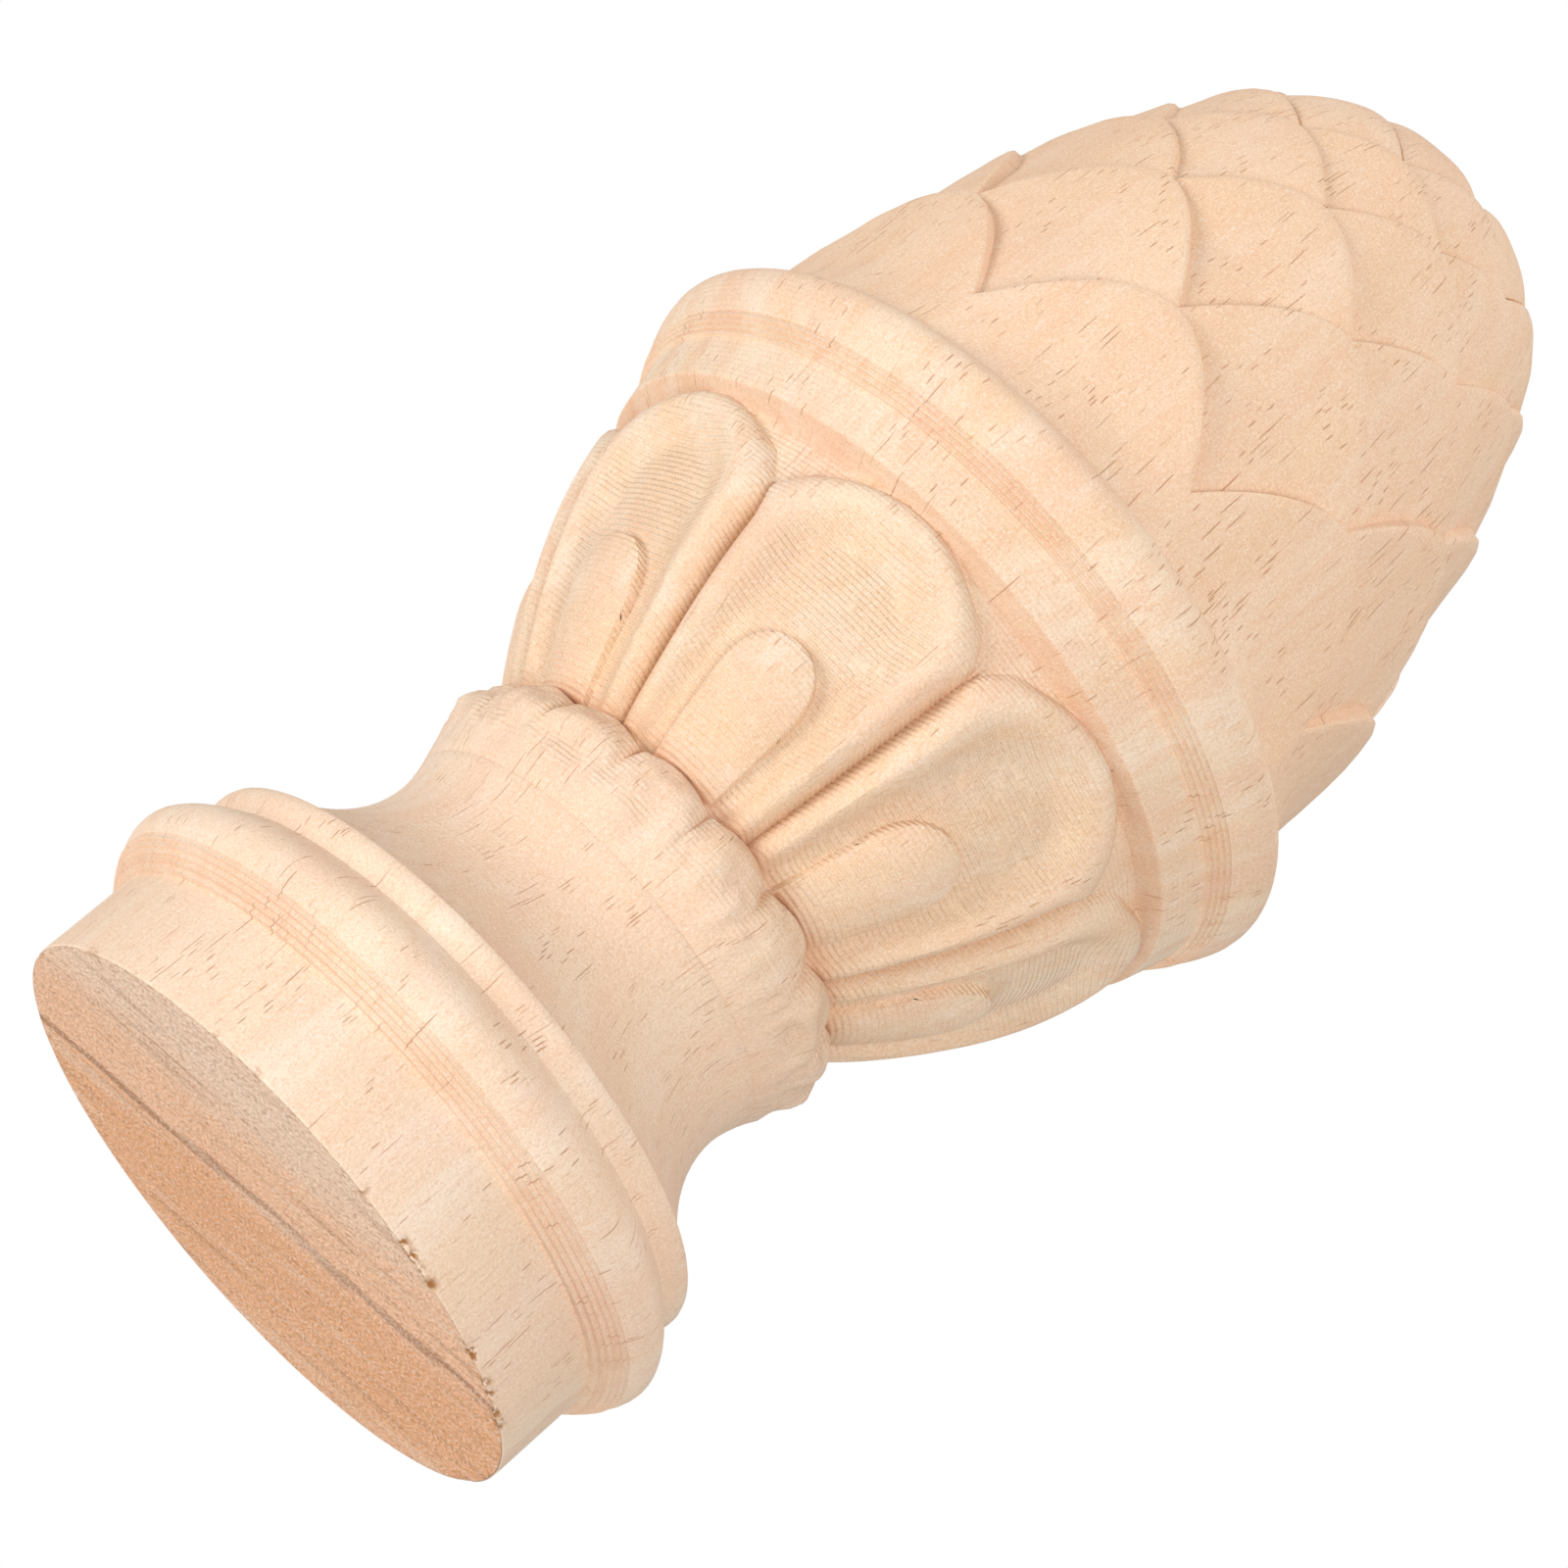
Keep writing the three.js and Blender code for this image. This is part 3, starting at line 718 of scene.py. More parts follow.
@dataclass
class Cone:
    """Cone of overlapping pointed scales. Millimetres."""

    foot: float = 116.0
    top: float = 200.0
    foot_radius: float = 48.9
    flare: tuple[float, float] = (0.09, 0.953)
    scales: tuple[ScaleRow, ...] = (
        ScaleRow(0.283, 0.102, 0.904, 12),
        ScaleRow(0.479, 0.293, 0.815, 10),
        ScaleRow(0.614, 0.488, 0.74, 9),
        ScaleRow(0.736, 0.624, 0.65, 8),
        ScaleRow(0.811, 0.744, 0.589, 6),
        ScaleRow(0.898, 0.82, 0.474, 6),
        ScaleRow(0.957, 0.907, 0.327, 5),
    )
    arch_power: float = 1.8
    lift: float = 2.2
    lift_range: float = 0.18
    crown: float = 1.15
    step: float = 0.45
    lip_rounding: float = 0.3
    # Painted shade on the small step under each scale's edge.
    brink_painted_shade: float = 0.08
    lip_height: float = 0.8

    def height(self, share: float) -> float:
        """Turns a share of the cone's height into a height."""
        return mix(self.foot, self.top, share)

    def body(self, z: float) -> float:
        """Gives the radius through the scales' tips, by smooth arcs between stations.

        Args:
            z: Height in millimetres.

        Returns:
            The radius in millimetres.
        """
        stations = [(self.foot, self.foot_radius)]
        stations.append((self.height(self.flare[0]), self.foot_radius * self.flare[1]))
        stations += [(self.height(row.tip), self.foot_radius * row.radius) for row in self.scales]
        stations.append((self.top, 0.0))
        last = len(stations) - 1
        i = 0
        while i < last - 1 and z > stations[i + 1][0]:
            i += 1
        (z0, r0), (z1, r1) = stations[i], stations[i + 1]
        t = clamp((z - z0) / (z1 - z0))
        if i == last - 1:
            return r0 * math.sqrt(1.0 - t * t)
        slopes = []
        for k in (i, i + 1):
            before, after = stations[max(k - 1, 0)], stations[min(k + 1, last)]
            slopes.append((after[1] - before[1]) / (after[0] - before[0]))
        level = r0 * (2 * t**3 - 3 * t**2 + 1) + r1 * (3 * t**2 - 2 * t**3)
        bend = slopes[0] * (t**3 - 2 * t**2 + t) + slopes[1] * (t**3 - t**2)
        return level + bend * (z1 - z0)

    def across(self, angle: float, row: int) -> float:
        """Gives 0 on the middle of a scale of a row and 1 where it meets its neighbour."""
        phase = 0.0 if row % 2 == 0 else HALF_SECTOR
        return abs(fold_angle(angle, 2 * HALF_SECTOR, phase)) / HALF_SECTOR

    def edge(self, angle: float, row: int) -> float:
        """Gives the height of the scales' edge at an angle."""
        scale = self.scales[row]
        return self.height(mix(scale.tip, scale.notch, self.across(angle, row) ** self.arch_power))

    def brink(self, angle: float, z: float) -> float:
        """Gives the painted shade on the small step under the edge of a scale.

        Args:
            angle: Angle from the middle of a petal, in degrees.
            z: Height in millimetres.

        Returns:
            The share, from 0 to 1.
        """
        for row in range(len(self.scales)):
            rise = z - self.edge(angle, row)
            if rise < self.step + 0.01:
                return self.brink_painted_shade if rise > 0.01 else 0.0
        return 0.0

    def radius(self, angle: float, z: float) -> float:
        """Gives the radius of the cone; the lowest row whose edge is above the point shows.

        Args:
            angle: Angle from the middle of a petal, in degrees.
            z: Height in millimetres.

        Returns:
            The radius in millimetres.
        """
        outer = self.body(z)
        for row in range(len(self.scales)):
            edge = self.edge(angle, row)
            if z < edge + self.step:
                near = 1.0 - clamp((edge - z) / (self.lift_range * (self.top - self.foot)))
                step = 1.0 - smooth_step(edge, edge + self.step, z)
                lip = clamp(1.0 - (edge - z) / self.lip_height) ** 2
                lift = (self.lift * near - self.lip_rounding * lip) * step
                return outer - self.lift + lift - self.crown * self.across(angle, row) ** 2
        return max(outer - self.lift, 0.0)

    def rows(self) -> list[Row]:
        """Lists the rows, which follow the edges of the scales.

        Returns:
            The rows from the foot of the cone to its tip.
        """
        lines = [[self.foot for _ in EVEN_ANGLES]]
        for index, scale in enumerate(self.scales):
            start = lines[-1]
            edge = [self.edge(angle, index) for angle in EVEN_ANGLES]
            for share in spread(0.0, 1.0, scale.faces)[1:-1]:
                lines.append([mix(a, b, share) for a, b in zip(start, edge)])
            lines.append([mix(a, b, 1.0 - 0.35 / scale.faces) for a, b in zip(start, edge)])
            for offset in (0.0, 0.4 * self.step, self.step + 1e-4):
                lines.append([z + offset for z in edge])
        start = lines[-1]
        for share in spread(0.0, 1.0, 5, 0.6)[1:-1]:
            lines.append([mix(z, self.top, share) for z in start])
        rows = [[(a, z, self.radius(a, z)) for a, z in zip(EVEN_ANGLES, line)] for line in lines]
        rows.append([(angle, self.top, 0.0) for angle in EVEN_ANGLES])
        return rows


class Layer(Enum):
    """Values kept on the vertices for the finish to read."""

    TOOLED = "tooled"
    SAWN = "sawn"
    # Painted shade in grooves, crevices and small steps, and the reddish tan of the cut on the ledge.
    CUT = "cut"
    TORN = "torn"


@dataclass
class Finial:
    """The whole finial as one solid of one skin: half a sector, mirrored and turned round."""

    foot: Foot = field(default_factory=Foot)
    collar: Collar = field(default_factory=Collar)
    cup: PetalCup = field(default_factory=PetalCup)
    rim: Rim = field(default_factory=Rim)
    cone: Cone = field(default_factory=Cone)
    sharp_angle: float = 34.0
    weld: float = 0.002
    # How plainly the tool lines show on each part, from 0 to 1.
    base_tooled: float = 0.05
    collar_tooled: float = 0.1
    petal_tooled: float = 0.25
    band_tooled: float = 0.2
    cone_tooled: float = 0.03
    # How much painted shade darkens the steps, scribed line, grooves, petals' foot, ledge and crevice,
    # where shade falls; the ledge also shows the reddish tan of its cut, and the waist a faint tan.
    riser_painted_shade: float = 0.15
    waist_cut: float = 0.03
    scribe_painted_shade: float = 0.12
    groove_painted_shade: float = 0.2
    petal_foot_painted_shade: float = 0.3
    ledge_cut_and_shade: float = 0.26
    crevice_painted_shade: tuple[float, float] = (0.2, 0.7)
    unevenness: float = 0.11
    uneven_size: tuple[float, float, float] = (9.0, 9.0, 16.0)
    worn_collar: tuple[float, float, float, float] = (51.0, 54.5, 61.0, 62.6)
    dent_size: float = 3.0
    dent_depth: float = 0.6
    lump_size: float = 6.0
    lump_depth: float = 0.85
    scale_wear: float = 0.1
    wear_size: float = 3.1
    nick_height: float = 1.2
    nick_depth: float = 0.5
    # Worn places on the sawn edge: middle and half width in degrees, and how deep.
    nicks: tuple[tuple[float, float, float], ...] = (
        (-12.0, 3.0, 0.35), (-4.0, 2.0, 0.3), (20.0, 2.4, 0.6), (33.0, 3.4, 0.9), (39.5, 2.4, 0.7),
        (45.5, 1.4, 0.5), (55.5, 2.4, 0.8), (70.0, 8.5, 1.0),
    )

    def lattices(self) -> list[list[Row]]:
        """Lists the three lattices that make the skin of half a sector.

        Returns:
            Lower part, petals' heads, and rim with cone.
        """
        petal_angles = self.cup.angles()
        lower = self.foot.rows() + self.collar.rows()
        lower += self.collar.crevice_rows(petal_angles, self.cup)
        lower += self.cup.straight_rows()
        return [lower, self.cup.arch_rows(), self.rim.rows(self.cup) + self.cone.rows()]

    def tooled(self, angle: float, z: float) -> float:
        """Gives how plainly the lines of the carving machine show, from 0 to 1.

        Args:
            angle: Angle from the middle of a petal, in degrees.
            z: Height in millimetres.

        Returns:
            The share, from 0 to 1.
        """
        if z < self.collar.notch_start - 1.0:
            return self.base_tooled
        if z < self.cup.start:
            share = self.collar.lobe_share(angle)
            dimple = math.exp(-(((z - self.collar.dimple) / 1.6) ** 2) - (share / 0.5) ** 2)
            return max(0.9 * dimple, self.collar_tooled + 0.5 * share**4)
        if z < self.cup.ledge - 0.01:
            q = self.cup.petal.share(angle, z)
            hollow = 1.0 - smooth_step(0.8, 0.93, q)
            tongue = 1.0 - 0.75 * smooth_step(1.02, 0.85, self.cup.tongue.share(angle, z))
            low = 0.8 * smooth_step(82.0, 70.0, z)
            groove = smooth_step(20.0, 21.6, abs(angle)) * smooth_step(1.1, 1.16, q)
            wall = smooth_step(0.99, 1.02, self.cup.outline.share(angle, z))
            groove *= 1.0 - 0.5 * wall
            return max(groove, 0.5 * wall, hollow * tongue, low, self.petal_tooled)
        return self.band_tooled if z < self.rim.torus_crest else self.cone_tooled

    def terrace_shade(self, z: float) -> float:
        """Gives the painted shade at the upper end of each small step, which the step above shadows, from 0
        to 1.

        Args:
            z: Height in millimetres.

        Returns:
            The share, from 0 to 1.
        """
        for part in (self.foot, self.rim):
            pitch = (part.terrace_end - part.top) / part.terraces
            step = (z - part.top) / pitch
            if 0.5 < step < part.terraces + 0.01 and step % 1.0 > 0.5:
                return self.riser_painted_shade * (1.0 - 0.6 * step / part.terraces)
        return 0.0

    def cut(self, angle: float, z: float) -> float:
        """Gives the painted shade in the grooves, crevices, scribed line and small steps, with the reddish
        tan of the cut on the ledge and a faint tan on the waist, from 0 to 1.

        Args:
            angle: Angle from the middle of a petal, in degrees.
            z: Height in millimetres.

        Returns:
            The share, from 0 to 1.
        """
        if z < self.foot.ring_top:
            return self.terrace_shade(z)
        if abs(z - self.collar.scribe) < 0.01:
            return self.scribe_painted_shade
        if self.collar.crevice - 0.5 < z < self.cup.start - 0.1:
            return self.crevice_painted_shade[1 if z > self.collar.crevice - 0.2 else 0]
        if self.cup.start - 0.1 <= z < self.cup.ledge:
            line = smooth_step(20.0, HALF_SECTOR, abs(angle))
            foot = self.petal_foot_painted_shade * smooth_step(self.cup.start + 2.0, self.cup.start, z)
            return max(foot, self.groove_painted_shade * line * smooth_step(90.0, 85.0, z))
        if z < self.rim.bottom:
            return self.ledge_cut_and_shade if z > self.cup.start else self.waist_cut
        if z > self.cone.foot:
            return self.cone.brink(angle, z)
        return self.terrace_shade(z)

    def add_lattice(self, mesh: bmesh.types.BMesh, rows: list[Row]) -> None:
        """Lays a grid on the places of a lattice.

        Args:
            mesh: Mesh that takes the grid.
            rows: Rows of places, each with as many as there are columns.
        """
        layers = {layer: mesh.verts.layers.float[layer.value] for layer in Layer}
        steps = len(rows) - 1
        grid = bmesh.ops.create_grid(mesh, x_segments=COLUMNS, y_segments=steps, size=0.5)
        for vert in grid["verts"]:
            column = round((vert.co.x + 0.5) * COLUMNS)
            angle, z, radius = rows[round((vert.co.y + 0.5) * steps)][column]
            place = math.radians(angle)
            vert.co = Vector((radius * math.sin(place), -radius * math.cos(place), z)) * MM
            vert[layers[Layer.TOOLED]] = self.tooled(angle, z)
            vert[layers[Layer.CUT]] = self.cut(angle, z)
            vert[layers[Layer.SAWN]] = 1.0 if z < 1e-6 else 0.0

    def close_round(self, mesh: bmesh.types.BMesh) -> None:
        """Mirrors the half sector and turns it into the whole, closed skin.

        Args:
            mesh: Mesh that holds the lattices of half a sector.
        """
        geometry = mesh.verts[:] + mesh.edges[:] + mesh.faces[:]
        bmesh.ops.mirror(mesh, geom=geometry, matrix=Matrix.Identity(4), merge_dist=0.0, axis="X")
        bmesh.ops.spin(
            mesh,
            geom=mesh.verts[:] + mesh.edges[:] + mesh.faces[:],
            cent=(0.0, 0.0, 0.0),
            axis=(0.0, 0.0, 1.0),
            dvec=(0.0, 0.0, 0.0),
            angle=math.radians(360.0 - 2 * HALF_SECTOR),
            steps=SECTORS - 1,
            use_duplicate=True,
        )
        bmesh.ops.remove_doubles(mesh, verts=mesh.verts[:], dist=self.weld * MM)
        bmesh.ops.dissolve_degenerate(mesh, dist=0.5 * self.weld * MM, edges=mesh.edges[:])
        bmesh.ops.recalc_face_normals(mesh, faces=mesh.faces[:])

    def weather(self, mesh: bmesh.types.BMesh) -> None:
        """Makes the skin slightly uneven, wears the collar and nicks the sawn edge.

        Args:
            mesh: Closed skin of the finial.
        """
        torn = mesh.verts.layers.float[Layer.TORN.value]
        start, full, fading, end = self.worn_collar
        for vert in mesh.verts:
            flat = Vector((vert.co.x, vert.co.y, 0.0))
            if flat.length < 1.0 * MM:
                continue
            place = vert.co / MM
            outward = flat.normalized()
            waves = Vector(along / size for along, size in zip(place, self.uneven_size))
            shift = self.unevenness * noise.noise(waves)
            worn = smooth_step(start, full, place.z) * smooth_step(end, fading, place.z)
            if worn > 0.0:
                dents = noise.fractal(place / self.dent_size, 0.6, 2.0, 2)
                lumps = self.lump_depth * noise.noise(place / self.lump_size)
                shift += worn * (self.dent_depth * (dents - 0.25 * abs(dents)) + lumps)
            if self.cone.foot + 1.0 < place.z:
                shift += self.scale_wear * noise.noise(place / self.wear_size)
            if place.z < self.nick_height:
                edge = smooth_step(37.0, 38.4, flat.length / MM)
                worn = edge * smooth_step(self.nick_height, 0.2, place.z) * self.nick(outward)
                shift = shift * edge - self.nick_depth * worn
                vert[torn] = min(1.0, 1.6 * worn)
            reach = min(flat.length + shift * MM, self.rim.torus_radius * MM)
            vert.co.x, vert.co.y = outward.x * reach, outward.y * reach

    def nick(self, outward: Vector) -> float:
        """Gives how deeply the sawn edge is nicked in a direction, from 0 to 1.

        Args:
            outward: Direction from the axis.

        Returns:
            The share, from 0 to 1.
        """
        angle = math.degrees(math.atan2(outward.x, -outward.y))
        rough = noise.fractal(Vector((outward.x * 40.0, outward.y * 40.0, 3.7)), 0.5, 2.0, 3)
        slight = noise.noise(Vector((outward.x * 9.0, outward.y * 9.0, 1.3)))
        worn = 0.25 * smooth_step(0.25, 0.6, slight)
        for middle, reach, depth in self.nicks:
            away = abs(fold_angle(angle, 360.0, middle)) / reach
            worn = max(worn, depth * (1.0 - smooth_step(0.6, 1.2, away)))
        return worn * smooth_step(-0.15, 0.3, rough)

    def build(self) -> bpy.types.Object:
        """Makes the finial as an object with a smooth skin and crisp creases.

        Returns:
            The object, at the origin, with its place in its mesh.
        """
        mesh = bmesh.new()
        for layer in Layer:
            mesh.verts.layers.float.new(layer.value)
        for rows in self.lattices():
            self.add_lattice(mesh, rows)
        self.close_round(mesh)
        self.weather(mesh)
        for face in mesh.faces:
            face.smooth = True
        for edge in mesh.edges:
            edge.smooth = edge.calc_face_angle(0.0) < math.radians(self.sharp_angle)
        data = bpy.data.meshes.new("carved_finial")
        mesh.to_mesh(data)
        mesh.free()
        piece = bpy.data.objects.new("carved_finial", data)
        bpy.context.scene.collection.objects.link(piece)
        return piece


def linear(colour: str) -> tuple[float, float, float, float]:
    """Turns an sRGB hex colour into the linear colour that the shaders take.

    Args:
        colour: Such as "#e9d2ba".

    Returns:
        Red, green, blue and an alpha of 1.
    """
    channels = []
    for start in (1, 3, 5):
        value = int(colour[start : start + 2], 16) / 255.0
        channels.append(value / 12.92 if value <= 0.04045 else ((value + 0.055) / 1.055) ** 2.4)
    return channels[0], channels[1], channels[2], 1.0


def add_node(
    tree: bpy.types.NodeTree,
    kind: str,
    inputs: dict[str | int, object] | None = None,
    **settings: object,
) -> bpy.types.Node:
    """Adds a node with its settings, values and links.

    Args:
        tree: Node tree that takes it.
        kind: Type name of the node.
        inputs: Socket name or number, with a value or the socket that feeds it.
        settings: Options of the node by name.

    Returns:
        The node.
    """
    node = tree.nodes.new(kind)
    for name, value in settings.items():
        setattr(node, name, value)
    for key, value in (inputs or {}).items():
        if isinstance(value, bpy.types.NodeSocket):
            tree.links.new(value, node.inputs[key])
        else:
            node.inputs[key].default_value = value
    return node


def per_mm(x: float, y: float, z: float) -> tuple[float, float, float]:
    """Gives the Mapping scale that makes one unit of each axis that many millimetres."""
    return 1.0 / (x * MM), 1.0 / (y * MM), 1.0 / (z * MM)


@dataclass(frozen=True)
class BareRubberwood:
    """Bare rubberwood, cut by a carving machine and left unsanded.

    To the eye: matt and slightly fuzzy, cream to pinkish tan, with short brown pores along
    the grain, rough browner end grain on the sawn underside, and fine lines across the
    carved hollows.
    """

    name: str = "bare_rubberwood"
    cream: str = "#efd7bc"
    tan: str = "#e9c5a2"
    pink: str = "#ebc4a6"
    yellow: str = "#f6d2a8"
    pale: str = "#f2dac6"
    rosy: str = "#ecc3a0"
    fuzz: str = "#f9ebdb"
    shade: str = "#d8ae88"
    pore: str = "#b4703f"
    end_pale: str = "#f1cfb2"
    end_light: str = "#f2be96"
    end_brown: str = "#e9aa78"
    end_dark: str = "#a3683c"
    # Tan of the painted shade in grooves, crevices and steps, and of the reddish cut on the ledge.
    deep_cut_and_shade: str = "#cf9064"
    burnt: str = "#a0682f"
    roughness: float = 0.72
    ior: float = 1.52
    grain_turn: float = 14.0
    seam: float = -2.0
    arc_radius: float = 40.0
    grain_bend: float = 0.09
    tool_pitch: float = 0.65
    # Real pores are 0.1 to 0.2 mm wide. They are drawn at the wide end so that they show.
    # Each kind: width and length of a cell in millimetres, radius of the pore as a share of
    # its cell, and the level above which a pore is dark.
    long_pores: tuple[float, float, float, float] = (0.55, 16.0, 0.16, 0.95)
    short_pores: tuple[float, float, float, float] = (0.55, 4.8, 0.19, 0.95)
    pore_strength: float = 0.62
    tooled_pores: float = 0.75
    tone_height: float = 62.0
    # Heights in millimetres over which the cone turns rosier and its pores end.
    cone_tone: tuple[float, float] = (108.0, 122.0)
    tip_grain: tuple[float, float] = (188.0, 195.0)
    ridge_height: float = 0.15
    fibre_height: float = 0.07
    fuzz_height: float = 0.09
    sawn_fuzz: float = 6.0
    pore_height: float = -0.05

    def build(self) -> bpy.types.Material:
        """Makes the material.

        Returns:
            The material, which reads Object coordinates and the vertex layers.
        """
        material = bpy.data.materials.new(self.name)
        material.use_nodes = True
        tree = material.node_tree
        tree.nodes.clear()
        place = add_node(tree, "ShaderNodeTexCoord").outputs["Object"]
        turn = (0.0, 0.0, math.radians(self.grain_turn))
        grain = add_node(tree, "ShaderNodeMapping", {"Vector": place, "Rotation": turn}).outputs["Vector"]
        layers = {
            layer: add_node(tree, "ShaderNodeAttribute", attribute_name=layer.value).outputs["Fac"]
            for layer in Layer
        }
        skin = self.skin(tree, place)
        pores = add_node(
            tree,
            "ShaderNodeMath",
            {0: self.pores(tree, skin, self.long_pores), 1: self.pores(tree, skin, self.short_pores)},
            operation="MAXIMUM",
        ).outputs[0]
        height = add_node(tree, "ShaderNodeSeparateXYZ", {0: place}).outputs[2]
        tip = self.between(tree, height, self.tip_grain[0] * MM, self.tip_grain[1] * MM, 1.0)
        tooled = layers[Layer.TOOLED]
        for mask, most in ((layers[Layer.SAWN], 1.0), (tip, 1.0), (tooled, self.tooled_pores)):
            inputs = {"Value": mask, 3: 1.0, 4: 1.0 - most}
            kept = add_node(tree, "ShaderNodeMapRange", inputs).outputs[0]
            pores = add_node(tree, "ShaderNodeMath", {0: pores, 1: kept}, operation="MULTIPLY").outputs[0]
        fuzz = self.patches(tree, place, (0.22, 0.22, 0.34), 1.0)
        colour = self.side_colour(tree, grain, tooled)
        for low, high, hue in ((0.5, 0.72, self.fuzz), (0.48, 0.28, self.shade)):
            colour = self.tint(tree, colour, hue, self.between(tree, fuzz, low, high, 0.4))
        dark = self.between(tree, pores, 0.0, 1.0, self.pore_strength)
        colour = self.tint(tree, colour, self.pore, dark)
        colour = self.underside_colour(tree, grain, colour, layers[Layer.SAWN])
        crumbs = self.patches(tree, place, (0.9, 0.9, 0.5), 2.0)
        torn = add_node(
            tree,
            "ShaderNodeMath",
            {0: layers[Layer.TORN], 1: self.between(tree, crumbs, 0.4, 0.55, 1.0)},
            operation="MULTIPLY",
        ).outputs[0]
        # Painted shade: darkens grooves, crevices, the scribed line and small steps, and gives the ledge
        # its reddish cut tan.
        colour = self.tint(tree, colour, self.deep_cut_and_shade, layers[Layer.CUT])
        colour = self.tint(tree, colour, self.burnt, torn)
        shader = add_node(
            tree,
            "ShaderNodeBsdfPrincipled",
            {
                "Base Color": colour,
                "Roughness": self.roughness,
                "IOR": self.ior,
                "Specular IOR Level": 0.3,
                "Normal": self.relief(tree, place, pores, layers),
            },
        )
        add_node(tree, "ShaderNodeOutputMaterial", {"Surface": shader.outputs[0]})
        return material

    def tint(
        self, tree: bpy.types.NodeTree, colour: object, hue: str, share: bpy.types.NodeSocket
    ) -> bpy.types.NodeSocket:
        """Mixes a colour towards a hue by a share."""
        inputs = {"Factor": share, 6: colour, 7: linear(hue)}
        return add_node(tree, "ShaderNodeMix", inputs, data_type="RGBA").outputs[2]

    def between(
        self, tree: bpy.types.NodeTree, value: bpy.types.NodeSocket, low: float, high: float, most: float
    ) -> bpy.types.NodeSocket:
        """Goes from 0 to most while a value goes from low to high."""
        inputs = {"Value": value, 1: low, 2: high, 4: most}
        return add_node(tree, "ShaderNodeMapRange", inputs, interpolation_type="SMOOTHSTEP").outputs[0]

    def patches(
        self,
        tree: bpy.types.NodeTree,
        place: bpy.types.NodeSocket,
        size: tuple[float, float, float],
        detail: float,
    ) -> bpy.types.NodeSocket:
        """Draws soft random patches.

        Args:
            tree: Node tree.
            place: Coordinates.
            size: Size of a patch along each axis, in millimetres.
            detail: Number of finer layers.

        Returns:
            A socket of about 0.3 to 0.7.
        """
        scaled = add_node(tree, "ShaderNodeMapping", {"Vector": place, "Scale": per_mm(*size)})
        inputs = {"Vector": scaled.outputs["Vector"], "Scale": 1.0, "Detail": detail}
        return add_node(tree, "ShaderNodeTexNoise", inputs).outputs[0]

    def skin(self, tree: bpy.types.NodeTree, place: bpy.types.NodeSocket) -> bpy.types.NodeSocket:
        """Unrolls the turned surface: distance round it and height, bent slightly as grain is.

        Args:
            tree: Node tree.
            place: Object coordinates.

        Returns:
            A vector socket in metres, with the distance round in X and the height in Y.
        """
        axes = add_node(tree, "ShaderNodeSeparateXYZ", {0: place}).outputs
        back = add_node(tree, "ShaderNodeMath", {0: axes[1], 1: -1.0}, operation="MULTIPLY").outputs[0]
        turn = add_node(tree, "ShaderNodeMath", {0: axes[0], 1: back}, operation="ARCTAN2").outputs[0]
        bend = self.patches(tree, place, (16.0, 16.0, 22.0), 1.0)
        inputs = {0: bend, 1: self.grain_bend, 2: turn}
        bent = add_node(tree, "ShaderNodeMath", inputs, operation="MULTIPLY_ADD").outputs[0]
        inputs = {0: bent, 1: self.arc_radius * MM}
        arc = add_node(tree, "ShaderNodeMath", inputs, operation="MULTIPLY").outputs[0]
        return add_node(tree, "ShaderNodeCombineXYZ", {0: arc, 1: axes[2], 2: 0.0}).outputs[0]

    def pores(
        self,
        tree: bpy.types.NodeTree,
        skin: bpy.types.NodeSocket,
        kind: tuple[float, float, float, float],
    ) -> bpy.types.NodeSocket:
        """Draws open pores: long thin cells along the grain, of which some are dark.

        Args:
            tree: Node tree.
            skin: Unrolled coordinates.
            kind: One of the kinds that the finish lists.

        Returns:
            A socket that is 1 in a dark pore and 0 outside.
        """
        across, along, radius, level = kind
        cells = add_node(
            tree, "ShaderNodeMapping", {"Vector": skin, "Scale": per_mm(across, along, 1.0)}
        ).outputs["Vector"]
        voronoi = add_node(
            tree,
            "ShaderNodeTexVoronoi",
            {"Vector": cells, "Scale": 1.0, "Randomness": 1.0},
            voronoi_dimensions="2D",
            feature="F1",
        )
        spot = self.between(tree, voronoi.outputs["Distance"], radius, radius * 0.5, 1.0)
        pick = add_node(tree, "ShaderNodeSeparateColor", {0: voronoi.outputs["Color"]}).outputs[0]
        crowd = self.patches(tree, skin, (8.0, 11.0 + along, 1.0), 1.0)
        inputs = {0: crowd, 1: 2.2, 2: pick}
        dark = add_node(tree, "ShaderNodeMath", inputs, operation="MULTIPLY_ADD").outputs[0]
        strong = self.between(tree, dark, level + 0.75, level + 1.35, 1.0)
        return add_node(tree, "ShaderNodeMath", {0: spot, 1: strong}, operation="MULTIPLY").outputs[0]

